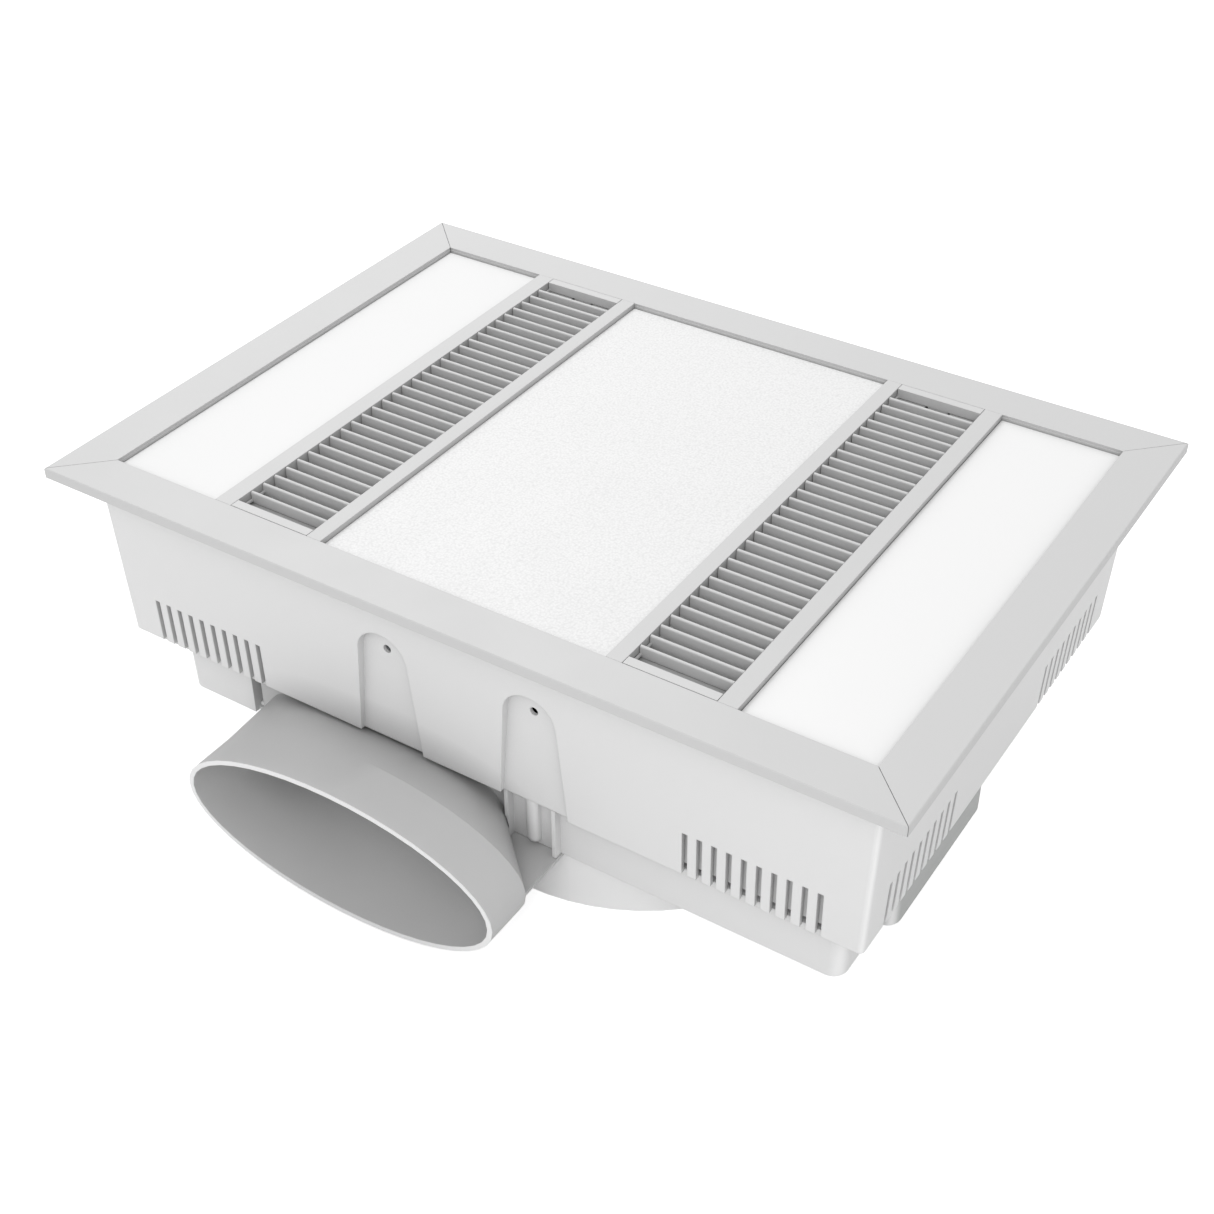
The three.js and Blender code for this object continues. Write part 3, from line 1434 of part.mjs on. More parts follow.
unit.add(
  mesh('fascia_rail_front', frontRail(), whitePaint),
  mesh('fascia_rail_back', turnedZ(frontRail(), fullTurn / 2), whitePaint),
  mesh('fascia_rail_right', turnedZ(sideRail(), fullTurn / 4), whitePaint),
  mesh('fascia_rail_left', turnedZ(sideRail(), -fullTurn / 4), whitePaint),
  mesh('crossbar_inner_left', crossbar(innerBarStart, innerBarWidth, -1, -1), whitePaint),
  mesh('crossbar_inner_right', crossbar(innerBarStart, innerBarWidth, 1, -1), whitePaint),
  mesh('crossbar_outer_left', crossbar(outerBarStart, outerBarWidth, -1, 1), whitePaint),
  mesh('crossbar_outer_right', crossbar(outerBarStart, outerBarWidth, 1, 1), whitePaint),
  mesh('louvre_grille_left', louvreGrille(-1), louvreWhite),
  mesh('louvre_grille_right', louvreGrille(1), louvreWhite),
  mesh('centre_diffuser', diffuser(-innerBarStart, innerBarStart), stippled),
  mesh('side_diffuser_left', diffuser(-seatX, -sidePanelStart), opal),
  mesh('side_diffuser_right', diffuser(sidePanelStart, seatX), opal),
);
unit.add(
  mesh('centre_light_tray', lightTray(-centreBodyX, centreBodyX, -centreFlangeX, centreFlangeX), sheetSteel),
  mesh('side_light_tray_left', lightTray(-sideBodyX1, -sideBodyX0, -sideFlangeX1, -sideFlangeX0), sheetSteel),
  mesh('side_light_tray_right', lightTray(sideBodyX0, sideBodyX1, sideFlangeX0, sideFlangeX1), sheetSteel),
  mesh('centre_led_board', lightBoard(-centreBodyX, centreBodyX), boardWhite),
  mesh('side_led_board_left', lightBoard(-sideBodyX1, -sideBodyX0), boardWhite),
  mesh('side_led_board_right', lightBoard(sideBodyX0, sideBodyX1), boardWhite),
  mesh('fascia_clip_front_left', fasciaClip(-clipOffset, -1), steel),
  mesh('fascia_clip_front_right', fasciaClip(clipOffset, -1), steel),
  mesh('fascia_clip_back_left', fasciaClip(-clipOffset, 1), steel),
  mesh('fascia_clip_back_right', fasciaClip(clipOffset, 1), steel),
);
unit.add(
  mesh('housing_sleeve', housingSleeve(), housingWhite),
  mesh('housing_tub', housingTub(), tubWhite),
  mesh('inlet_plate', inletPlate(), sheetSteel),
  mesh('inlet_bellmouth', inletBellmouth(), tubWhite),
  mesh('fan_casing', fanCasing(), tubWhite),
  mesh('duct_adapter', ductAdapter(), ductGrey),
  mesh('backdraft_flap', backdraftFlap(), ductGrey),
  mesh('flap_hinge_pin', flapPin(), steel),
  mesh('flap_return_spring', flapSpring(), steel),
  ...numbered('inlet_plate_screw', plateScrews(), steel),
  ...numbered('fan_casing_screw', casingScrews(), steel),
);
unit.add(
  mesh('fan_wheel', fanWheel(), blackPlastic),
  mesh('rotor_can', rotorCan(), steel),
  mesh('rotor_magnet', rotorMagnet(), magnetGrey),
  mesh('motor_shaft', motorShaft(), steel),
  mesh('rotor_nut', rotorNut(), steel),
  mesh('motor_mount', motorMount(), steel),
  mesh('stator_stack', statorStack(), magnetGrey),
  mesh('stator_windings', statorWindings(), copper),
  mesh('lower_bearing', bearing(bearingLow), steel),
  mesh('upper_bearing', bearing(bearingHigh), steel),
  ...numbered('motor_screw', motorScrews(), steel),
);
unit.add(
  mesh('led_driver', ledDriver(), blackPlastic),
  mesh('run_capacitor', runCapacitor(), cableGrey),
  mesh('terminal_box', terminalBox(), boxGrey),
  mesh('terminal_cover', terminalCover(), boxGrey),
  mesh('terminal_block', terminalBlock(), boardWhite),
  mesh('cable_gland', cableGland(), cableGrey),
  mesh('cable_gland_nut', glandNut(), cableGrey),
);

export default unit;
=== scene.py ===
"""Ceiling exhaust fan with lit panels: finished surfaces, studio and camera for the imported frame.

Metres, in the frame's own axes: the fascia faces +Z, the oval duct points to -Y,
and the unit lies on the flat bottom of its fan scroll.
"""

import json
import math

import bmesh
import bpy
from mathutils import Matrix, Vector

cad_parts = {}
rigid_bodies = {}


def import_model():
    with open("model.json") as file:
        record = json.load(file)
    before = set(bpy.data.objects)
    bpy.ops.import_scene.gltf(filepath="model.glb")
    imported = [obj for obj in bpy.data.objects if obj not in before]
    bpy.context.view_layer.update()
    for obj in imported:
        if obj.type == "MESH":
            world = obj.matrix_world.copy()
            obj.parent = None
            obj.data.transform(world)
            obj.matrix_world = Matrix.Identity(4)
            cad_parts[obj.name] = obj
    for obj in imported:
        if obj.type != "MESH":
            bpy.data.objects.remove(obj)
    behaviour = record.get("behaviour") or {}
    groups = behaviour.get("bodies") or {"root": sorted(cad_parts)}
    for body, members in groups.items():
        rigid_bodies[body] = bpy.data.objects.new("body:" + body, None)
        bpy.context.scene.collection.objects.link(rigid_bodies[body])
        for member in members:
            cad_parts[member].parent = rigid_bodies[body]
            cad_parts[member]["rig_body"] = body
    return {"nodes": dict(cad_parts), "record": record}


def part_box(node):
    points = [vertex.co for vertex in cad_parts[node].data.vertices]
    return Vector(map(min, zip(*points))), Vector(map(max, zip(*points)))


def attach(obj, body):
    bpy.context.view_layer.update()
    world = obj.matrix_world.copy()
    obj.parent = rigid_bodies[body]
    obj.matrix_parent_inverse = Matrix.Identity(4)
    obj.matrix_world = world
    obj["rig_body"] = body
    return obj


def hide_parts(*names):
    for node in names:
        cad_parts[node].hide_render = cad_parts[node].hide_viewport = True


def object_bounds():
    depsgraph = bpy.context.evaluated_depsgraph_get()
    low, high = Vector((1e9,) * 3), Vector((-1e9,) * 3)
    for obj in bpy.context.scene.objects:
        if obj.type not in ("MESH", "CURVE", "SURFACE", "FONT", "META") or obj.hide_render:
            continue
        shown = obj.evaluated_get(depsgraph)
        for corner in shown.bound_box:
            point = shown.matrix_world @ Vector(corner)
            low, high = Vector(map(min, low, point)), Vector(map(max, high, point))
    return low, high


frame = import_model()
frame_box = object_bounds()
nodes = frame["nodes"]
slot_of = {entry["node"]: entry["material_slot"] for entry in frame["record"]["subparts"]}
duct_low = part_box("duct_adapter")[0]

MM = 0.001
MICRON = 0.000001

# Camera of the photograph
CAMERA_PLACE = Vector((441.5, -703.6, 538.2)) * MM
CAMERA_AZIMUTH = math.radians(32.66)
CAMERA_ELEVATION = math.radians(37.34)
CAMERA_LENS_MM = 54.79
SENSOR_MM = 36.0
NEAREST = 0.05
FARTHEST = 30.0

# Meshes: faces nearly in one plane are joined, and edges over the sharp angle stay edges
WELD = 0.01 * MM
FLAT_ANGLE = math.radians(0.6)
SHARP_ANGLE = math.radians(32)
LOFT_ANGLE = math.radians(60)
FLAT_WEIGHT = 90
BEVEL_STEPS = 2

# The duct's crease, where the oval collar meets its transition; centre and half size in X and Z
COLLAR_LENGTH = 29 * MM
COLLAR_START = duct_low.y + COLLAR_LENGTH
COLLAR_CENTRE = (-39 * MM, -134 * MM)
COLLAR_HALF = (99 * MM, 42.3 * MM)
OUTER_SHARE = 0.985
CREASE_FROM = -50 * MM
RING_REACH = 0.1 * MM
# How deep the painted highlight on the duct's front rim reaches
RIM_HIGHLIGHT_DEPTH = 0.2 * MM
RIM_HIGHLIGHT_END = duct_low.y + RIM_HIGHLIGHT_DEPTH

# Shading of rounded edges, and painted shade in crevices
SOFT_EDGE = 0.3 * MM
FINE_EDGE = 0.2 * MM
EDGE_SAMPLES = 4
CREVICE_SAMPLES = 4
CREVICE_REACH = 20 * MM

# Effects: scales are cells per metre, and noise lies mostly between a low and a high value
WAVE_SCALE = 14.0
WAVE_DEPTH = 0.4 * MM
DRIFT_SCALE = 9.0
ROUGH_SCALE = 22.0
NOISE_LOW = 0.3
NOISE_MIDDLE = 0.5
NOISE_HIGH = 0.7
# How fast the painted shade at a panel's frame fades inward
EDGE_FADE = 0.3
# How narrow the painted highlight on rounded corners is
CORNER_SHARPNESS = 3.0

# Shader values that several materials share
PLASTIC_IOR = 1.48
ACRYLIC_IOR = 1.49
STEEL_IOR = 2.5
COAT_ROUGHNESS = 0.15
CHIP_HEIGHT = 0.6 * MM

# Studio: metres and watts
FLOOR_RADIUS = 6.0
FLOOR_SIDES = 96
FLOOR_COLOUR = (0.94, 0.94, 0.94, 1.0)
FLOOR_ROUGHNESS = 0.9
FLOOR_GLOW = 0.62
WHITE = (1.0, 1.0, 1.0, 1.0)
WORLD_LIGHT = 0.60
FRONT_LAMP = {"place": (0.95, -1.93, 1.60), "target": (0, 0, -0.08), "size": 1.6, "power": 17.5}
BACK_LAMP = {"place": (-0.75, 0.60, 1.25), "target": (0, 0, 0), "size": 1.0, "power": 8.2}

VECTOR = "NodeSocketVector"
COLOUR = "NodeSocketColor"
FLOAT = "NodeSocketFloat"


# ---------------------------------------------------------------- nodes

def plug(socket, value):
    """Feeds a socket from another node's output or with a plain value."""
    if isinstance(value, bpy.types.NodeSocket):
        socket.id_data.links.new(value, socket)
    else:
        socket.default_value = value


def feed(node, **values):
    """Feeds a node's inputs by name, with _ for each space."""
    for key, value in values.items():
        plug(node.inputs[key.replace("_", " ")], value)
    return node


def math_node(tree, operation, *values):
    """One math node fed by sockets or plain numbers; gives its output."""
    node = tree.nodes.new("ShaderNodeMath")
    node.operation = operation
    for slot, value in enumerate(values):
        plug(node.inputs[slot], value)
    return node.outputs[0]


def noise_node(tree, vector, scale, detail, roughness=0.5):
    """Soft noise; gives its value."""
    node = tree.nodes.new("ShaderNodeTexNoise")
    feed(node, Vector=vector, Scale=scale, Detail=detail, Roughness=roughness)
    return node.outputs["Fac"]


def bump_node(tree, height, **more):
    """The normal of a surface raised by a height in metres."""
    node = tree.nodes.new("ShaderNodeBump")
    feed(node, Height=height, Strength=1.0, Distance=1.0, **more)
    return node.outputs["Normal"]


def scale_node(tree, colour, factor):
    """A colour times a factor."""
    node = tree.nodes.new("ShaderNodeVectorMath")
    node.operation = "SCALE"
    plug(node.inputs[0], colour)
    plug(node.inputs["Scale"], factor)
    return node.outputs["Vector"]


def axes_node(tree, vector):
    """A vector's X, Y and Z, by letter."""
    return feed(tree.nodes.new("ShaderNodeSeparateXYZ"), Vector=vector).outputs


# ---------------------------------------------------------------- effects

def shader_group(name, inputs, outputs):
    """An empty node group; an input is its name, its kind and, where it has one, a start value."""
    tree = bpy.data.node_groups.new(name, "ShaderNodeTree")
    for socket_name, kind, *start in inputs:
        socket = tree.interface.new_socket(name=socket_name, in_out="INPUT", socket_type=kind)
        if start:
            socket.default_value = start[0]
    for socket_name, kind in outputs:
        tree.interface.new_socket(name=socket_name, in_out="OUTPUT", socket_type=kind)
    given = tree.nodes.new("NodeGroupInput").outputs
    result = tree.nodes.new("NodeGroupOutput").inputs
    return tree, given, result


def make_grain_group():
    """Fine moulded grain over a slow unevenness of the wall."""
    tree, given, result = shader_group(
        "moulded_grain",
        [("Vector", VECTOR), ("Normal", VECTOR), ("Grain Scale", FLOAT), ("Grain Depth", FLOAT),
         ("Wave Depth", FLOAT, WAVE_DEPTH)],
        [("Normal", VECTOR)],
    )
    grain = noise_node(tree, given["Vector"], given["Grain Scale"], detail=3.0, roughness=0.6)
    wave = noise_node(tree, given["Vector"], WAVE_SCALE, detail=1.0, roughness=0.4)
    deep = math_node(tree, "MULTIPLY", grain, given["Grain Depth"])
    slow = math_node(tree, "MULTIPLY", wave, given["Wave Depth"])
    height = math_node(tree, "ADD", deep, slow)
    plug(result["Normal"], bump_node(tree, height, Normal=given["Normal"]))
    return tree


def make_drift_group():
    """A colour that drifts a little lighter and darker across the piece."""
    tree, given, result = shader_group(
        "shade_drift",
        [("Color", COLOUR), ("Vector", VECTOR), ("Scale", FLOAT, DRIFT_SCALE), ("Amount", FLOAT)],
        [("Color", COLOUR)],
    )
    slow = noise_node(tree, given["Vector"], given["Scale"], detail=3.0)
    centred = math_node(tree, "SUBTRACT", slow, NOISE_MIDDLE)
    swing = math_node(tree, "MULTIPLY", centred, given["Amount"])
    factor = math_node(tree, "ADD", swing, 1.0)
    plug(result["Color"], scale_node(tree, given["Color"], factor))
    return tree


def make_rough_group():
    """Roughness that varies between two values, as on a handled moulding."""
    tree, given, result = shader_group(
        "rough_drift",
        [("Vector", VECTOR), ("Scale", FLOAT, ROUGH_SCALE), ("Low", FLOAT), ("High", FLOAT)],
        [("Roughness", FLOAT)],
    )
    slow = noise_node(tree, given["Vector"], given["Scale"], detail=4.0)
    ranged = tree.nodes.new("ShaderNodeMapRange")
    feed(ranged, Value=slow, From_Min=NOISE_LOW, From_Max=NOISE_HIGH)
    feed(ranged, To_Min=given["Low"], To_Max=given["High"])
    plug(result["Roughness"], ranged.outputs["Result"])
    return tree


def make_stipple_group():
    """Small rounded pimples pressed into a diffuser sheet, with a mask of their crowns."""
    tree, given, result = shader_group(
        "pressed_stipple",
        [("Vector", VECTOR), ("Scale", FLOAT), ("Depth", FLOAT)],
        [("Normal", VECTOR), ("Crowns", FLOAT)],
    )
    cells = tree.nodes.new("ShaderNodeTexVoronoi")
    cells.feature = "SMOOTH_F1"
    feed(cells, Vector=given["Vector"], Scale=given["Scale"], Smoothness=0.5)
    crown = math_node(tree, "SUBTRACT", 1.0, cells.outputs["Distance"])
    height = math_node(tree, "MULTIPLY", crown, given["Depth"])
    plug(result["Normal"], bump_node(tree, height))
    plug(result["Crowns"], crown)
    return tree


def make_panel_edge_group():
    """A mask that rises to 1 near the edges of a flat panel in X and Y, for painted shade along its
    frame.
    """
    tree, given, result = shader_group(
        "panel_edge",
        [("Vector", VECTOR), ("Centre X", FLOAT), ("Half X", FLOAT), ("Half Y", FLOAT),
         ("Reach", FLOAT)],
        [("Mask", FLOAT)],
    )

    def fade(half, offset):
        """1 at the pair of edges that lie half a panel from its middle, and less inward."""
        inset = math_node(tree, "SUBTRACT", half, math_node(tree, "ABSOLUTE", offset))
        share = math_node(tree, "DIVIDE", inset, given["Reach"])
        return math_node(tree, "POWER", EDGE_FADE, math_node(tree, "MAXIMUM", share, 0.0))

    place = axes_node(tree, given["Vector"])
    across = math_node(tree, "SUBTRACT", place["X"], given["Centre X"])
    fade_x = fade(given["Half X"], across)
    fade_y = fade(given["Half Y"], place["Y"])
    plug(result["Mask"], math_node(tree, "MAXIMUM", fade_x, fade_y))
    return tree


def make_bands_group():
    """Even ridges along one axis, such as stacked sheets or wound wire."""
    tree, given, result = shader_group(
        "even_bands",
        [("Value", FLOAT), ("Pitch", FLOAT), ("Depth", FLOAT)],
        [("Normal", VECTOR), ("Mask", FLOAT)],
    )
    turns = math_node(tree, "DIVIDE", given["Value"], given["Pitch"])
    wave = math_node(tree, "SINE", math_node(tree, "MULTIPLY", turns, math.tau))
    mask = math_node(tree, "MULTIPLY", math_node(tree, "ADD", wave, 1.0), 0.5)
    height = math_node(tree, "MULTIPLY", mask, given["Depth"])
    plug(result["Normal"], bump_node(tree, height))
    plug(result["Mask"], mask)
    return tree


def make_corner_group():
    """A mask that rises to 1 where an upright surface turns from one wall to the next, for a
    painted highlight on rounded corners.
    """
    tree, given, result = shader_group("corner_turn", [("Normal", VECTOR)], [("Mask", FLOAT)])
    facing = axes_node(tree, given["Normal"])
    across = math_node(tree, "ABSOLUTE", facing["X"])
    along = math_node(tree, "ABSOLUTE", facing["Y"])
    turned = math_node(tree, "MULTIPLY", math_node(tree, "MULTIPLY", across, along), 2.0)
    plug(result["Mask"], math_node(tree, "POWER", turned, CORNER_SHARPNESS))
    return tree


GRAIN = make_grain_group()
DRIFT = make_drift_group()
ROUGH = make_rough_group()
STIPPLE = make_stipple_group()
PANEL_EDGE_SHADE = make_panel_edge_group()
BANDS = make_bands_group()
CORNER_HIGHLIGHT_MASK = make_corner_group()


# ---------------------------------------------------------------- materials

def srgb(red, green, blue):
    """A colour written as it looks on screen, in the values that shaders use."""
    def straight(value):
        return value / 12.92 if value <= 0.04045 else ((value + 0.055) / 1.055) ** 2.4
    return (straight(red), straight(green), straight(blue), 1.0)


def grey(tone):
    """A neutral colour, as it looks on screen."""
    return srgb(tone, tone, tone)


class Finish:
    """A material on Object coordinates that effects are plugged into by name."""

    def __init__(self, name, metallic=0.0, coat=0.0, ior=PLASTIC_IOR):
        self.material = bpy.data.materials.new(name)
        self.material.use_nodes = True
        self.tree = self.material.node_tree
        self.shader = self.tree.nodes["Principled BSDF"]
        feed(self.shader, Metallic=metallic, IOR=ior)
        feed(self.shader, Coat_Weight=coat, Coat_Roughness=COAT_ROUGHNESS)
        self.place = self.tree.nodes.new("ShaderNodeTexCoord").outputs["Object"]

    def effect(self, group, **values):
        """Places a shared effect; its inputs are numbers, colours or sockets."""
        node = self.tree.nodes.new("ShaderNodeGroup")
        node.node_tree = group
        if "Vector" in node.inputs:
            plug(node.inputs["Vector"], self.place)
        return feed(node, **values).outputs

    def drifted(self, colour, amount, **more):
        """The colour, a little lighter and darker from place to place."""
        return self.effect(DRIFT, Color=colour, Amount=amount, **more)["Color"]

    def gloss(self, low, high, **more):
        """Roughness that varies between two values."""
        return self.effect(ROUGH, Low=low, High=high, **more)["Roughness"]

    def grain(self, normal, scale, depth, **more):
        """The normal, roughened by a grain of so many cells per metre."""
        values = {"Normal": normal, "Grain_Scale": scale, "Grain_Depth": depth}
        return self.effect(GRAIN, **values, **more)["Normal"]

    def rounded(self, radius):
        """Shading normal with every edge rounded by a radius."""
        node = self.tree.nodes.new("ShaderNodeBevel")
        node.samples = EDGE_SAMPLES
        return feed(node, Radius=radius).outputs["Normal"]

    def shaded(self, colour, reach, depth):
        """The colour with painted shade: darker by a depth in crevices that are about a reach deep.
        """
        node = self.tree.nodes.new("ShaderNodeAmbientOcclusion")
        node.samples = CREVICE_SAMPLES
        feed(node, Distance=reach)
        hidden = self.calc("SUBTRACT", 1.0, node.outputs["AO"])
        factor = self.calc("SUBTRACT", 1.0, self.calc("MULTIPLY", hidden, depth))
        return scale_node(self.tree, colour, factor)

    def mix(self, mask, first, second):
        """The first colour where the mask is 0 and the second where it is 1."""
        node = self.tree.nodes.new("ShaderNodeMix")
        node.data_type = "RGBA"
        plug(node.inputs["Factor"], mask)
        for key, value in (("A", first), ("B", second)):
            socket = [s for s in node.inputs if s.name == key and s.type == "RGBA"][0]
            plug(socket, value)
        return [s for s in node.outputs if s.type == "RGBA"][0]

    def calc(self, operation, *values):
        """A math node among this material's own."""
        return math_node(self.tree, operation, *values)

    def axis(self, letter):
        """The place along one of the object's axes."""
        return axes_node(self.tree, self.place)[letter]

    def done(self, colour, roughness, normal):
        """Feeds the shader and gives the material."""
        feed(self.shader, Base_Color=colour, Roughness=roughness, Normal=normal)
        return self.material


def moulded(name, colour, gloss, grain, drift=0.02, coat=0.0, edge=SOFT_EDGE, crevice_shade=0.0,
            reach=CREVICE_REACH, corner_highlight=None):
    """Moulding with drifted colour, uneven gloss, soft edges and a fine grain.

    gloss is the least and the most roughness, and grain its cells per metre and depth.
    Crevices about a reach deep take painted shade, darker by the given share, and rounded upright
    corners take a painted highlight colour.
    """
    finish = Finish(name, coat=coat)
    normal = finish.rounded(edge)
    if corner_highlight:
        colour = finish.mix(finish.effect(CORNER_HIGHLIGHT_MASK, Normal=normal)["Mask"], colour, corner_highlight)
    tone = finish.drifted(colour, drift)
    if crevice_shade > 0:
        tone = finish.shaded(tone, reach, crevice_shade)
    return finish.done(tone, finish.gloss(*gloss), finish.grain(normal, *grain))


def make_fascia_white():
    # Painted shade darkens its crevices.
    return moulded(
        "fascia_white", grey(0.847), gloss=(0.46, 0.58), grain=(900, 6 * MICRON),
        drift=0.012, coat=0.05, crevice_shade=0.6,
    )


def make_louvre_white():
    # Painted shade darkens its crevices.
    return moulded(
        "louvre_white", grey(0.855), gloss=(0.46, 0.58), grain=(900, 6 * MICRON),
        drift=0.012, coat=0.05, crevice_shade=0.3,
    )


def make_housing_white():
    # Painted shade in its crevices, and a painted highlight on its rounded upright corners.
    return moulded(
        "housing_white", grey(0.945), gloss=(0.42, 0.56), grain=(1500, 20 * MICRON),
        edge=0.8 * MM, crevice_shade=0.42, reach=22 * MM, corner_highlight=grey(1.0),
    )


def make_tub_white(name, tone, crevice_shade):
    """White of the lower box, or a copy painted lighter for the fan casing that shows under it,
    standing in for the light there; both take a painted highlight on rounded upright corners.
    """
    return moulded(
        name, grey(tone), gloss=(0.42, 0.58), grain=(1500, 20 * MICRON),
        drift=0.025, edge=0.6 * MM, crevice_shade=crevice_shade, corner_highlight=grey(0.99),
    )


def make_duct_grey():
    """Grey moulding with a painted highlight on its front rim and painted shade in its crevices."""
    finish = Finish("duct_grey")
    # The front rim is painted paler as a highlight.
    rim_highlight = finish.calc("LESS_THAN", finish.axis("Y"), RIM_HIGHLIGHT_END)
    tone = finish.drifted(finish.mix(rim_highlight, grey(0.815), grey(0.985)), amount=0.03)
    return finish.done(
        # Painted shade in the duct's crevices.
        finish.shaded(tone, reach=2 * CREVICE_REACH, depth=0.3),
        finish.gloss(low=0.36, high=0.5),
        finish.grain(finish.rounded(SOFT_EDGE), scale=1100, depth=12 * MICRON),
    )


def make_cable_grey():
    return moulded(
        "cable_grey", srgb(0.56, 0.57, 0.575), gloss=(0.4, 0.55), grain=(1200, 20 * MICRON),
        drift=0.03,
    )


def make_black_plastic():
    return moulded(
        "black_plastic", srgb(0.17, 0.17, 0.175), gloss=(0.4, 0.55), grain=(1200, 30 * MICRON),
        drift=0.08,
    )


def make_terminal_grey():
    """Powder coat over drawn sheet, with a soft orange peel."""
    # Its rounded upright corners take a painted highlight.
    return moulded(
        "terminal_grey", srgb(0.71, 0.717, 0.713), gloss=(0.3, 0.42), grain=(420, 50 * MICRON),
        coat=0.2, corner_highlight=grey(0.95),
    )


def make_stippled_diffuser():
    """Acrylic sheet with pressed pimples that are paler on their crowns."""
    finish = Finish("stippled_diffuser", ior=ACRYLIC_IOR)
    stipple = finish.effect(STIPPLE, Scale=800, Depth=80 * MICRON)
    pale = finish.mix(stipple["Crowns"], grey(0.90), grey(0.985))
    return finish.done(
        finish.drifted(pale, amount=0.01),
        finish.gloss(low=0.42, high=0.55),
        stipple["Normal"],
    )


def make_opal_diffuser(node, tone):
    """Smooth opal sheet in a given tone, with painted shade a little darker where it meets its
    frame.
    """
    low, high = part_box(node)
    finish = Finish("opal_" + node, ior=ACRYLIC_IOR)
    panel = {"Centre_X": (low.x + high.x) / 2, "Half_X": (high.x - low.x) / 2, "Half_Y": high.y}
    # Painted shade where the panel meets its frame.
    mask = finish.effect(PANEL_EDGE_SHADE, **panel, Reach=4 * MM)["Mask"]
    normal = finish.rounded(FINE_EDGE)
    return finish.done(
        finish.drifted(finish.mix(mask, grey(tone), grey(0.93)), amount=0.004, Scale=5),
        finish.gloss(low=0.34, high=0.42),
        finish.grain(normal, scale=300, depth=1 * MICRON, Wave_Depth=20 * MICRON),
    )


def make_sheet_steel():
    """Zinc plated sheet: pale crystals of slightly different tone."""
    finish = Finish("sheet_steel", metallic=1.0, ior=STEEL_IOR)
    cells = feed(finish.tree.nodes.new("ShaderNodeTexVoronoi"), Vector=finish.place, Scale=160)
    tone = finish.tree.nodes.new("ShaderNodeSeparateColor")
    feed(tone, Color=cells.outputs["Color"])
    return finish.done(
        finish.mix(tone.outputs["Red"], srgb(0.70, 0.71, 0.72), srgb(0.80, 0.81, 0.815)),
        finish.gloss(low=0.3, high=0.48, Scale=90),
        finish.grain(finish.rounded(FINE_EDGE), scale=600, depth=4 * MICRON),
    )


def make_bright_steel():
    """Turned steel with fine rings along the motor's axis."""
    finish = Finish("bright_steel", metallic=1.0, ior=STEEL_IOR)
    turned = finish.effect(BANDS, Value=finish.axis("Z"), Pitch=0.4 * MM, Depth=4 * MICRON)
    return finish.done(
        finish.drifted(srgb(0.68, 0.69, 0.70), amount=0.1, Scale=160),
        finish.gloss(low=0.22, high=0.4, Scale=300),
        turned["Normal"],
    )


def make_magnet_grey():
    """Stacked laminations, edge on."""
    finish = Finish("magnet_grey", metallic=0.8, ior=2.2)
    sheets = finish.effect(BANDS, Value=finish.axis("Z"), Pitch=0.6 * MM, Depth=40 * MICRON)
    return finish.done(
        finish.mix(sheets["Mask"], srgb(0.2, 0.2, 0.21), srgb(0.36, 0.37, 0.38)),
        finish.gloss(low=0.4, high=0.6, Scale=200),
        sheets["Normal"],
    )


def make_copper_winding():
    """Rings of enamelled wire round the motor's axis."""
    low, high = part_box("stator_windings")
    centre = (low + high) / 2
    finish = Finish("copper_winding", metallic=0.9, coat=0.5, ior=1.9)
    out_x = finish.calc("SUBTRACT", finish.axis("X"), centre.x)
    out_y = finish.calc("SUBTRACT", finish.axis("Y"), centre.y)
    square_x = finish.calc("MULTIPLY", out_x, out_x)
    square_y = finish.calc("MULTIPLY", out_y, out_y)
    radius = finish.calc("SQRT", finish.calc("ADD", square_x, square_y))
    wire = finish.effect(BANDS, Value=radius, Pitch=0.8 * MM, Depth=200 * MICRON)
    return finish.done(
        finish.mix(wire["Mask"], srgb(0.35, 0.15, 0.06), srgb(0.78, 0.46, 0.26)),
        finish.gloss(low=0.25, high=0.4, Scale=300),
        wire["Normal"],
    )


def make_led_board(node):
    """White solder mask with warm chips standing on it."""
    board_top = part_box(node)[1].z - CHIP_HEIGHT
    finish = Finish("board_" + node, coat=0.3)
    chips = finish.calc("GREATER_THAN", finish.axis("Z"), board_top)
    white = finish.drifted(srgb(0.9, 0.91, 0.9), amount=0.03)
    return finish.done(
        finish.mix(chips, white, srgb(0.93, 0.80, 0.38)),
        finish.gloss(low=0.3, high=0.5, Scale=60),
        finish.grain(finish.rounded(FINE_EDGE), scale=700, depth=10 * MICRON),
    )


# ---------------------------------------------------------------- pieces

def put(name, data):
    """A new object in the scene."""
    thing = bpy.data.objects.new(name, data)
    bpy.context.scene.collection.objects.link(thing)
    return thing


def mesh_of(shape, name):
    """Turns a finished bmesh into a mesh."""
    mesh = bpy.data.meshes.new(name)
    shape.to_mesh(mesh)
    shape.free()
    return mesh


def cover(mesh, material):
    """Gives a mesh one material."""
    mesh.materials.clear()
    mesh.materials.append(material)


def welded(source, name):
    """A copy of a CAD mesh whose triangles are joined into whole faces."""
    shape = bmesh.new()
    shape.from_mesh(source)
    bmesh.ops.remove_doubles(shape, verts=shape.verts, dist=WELD)
    bmesh.ops.dissolve_limit(
        shape, angle_limit=FLAT_ANGLE, use_dissolve_boundaries=False,
        verts=shape.verts, edges=shape.edges,
    )
    return mesh_of(shape, name)


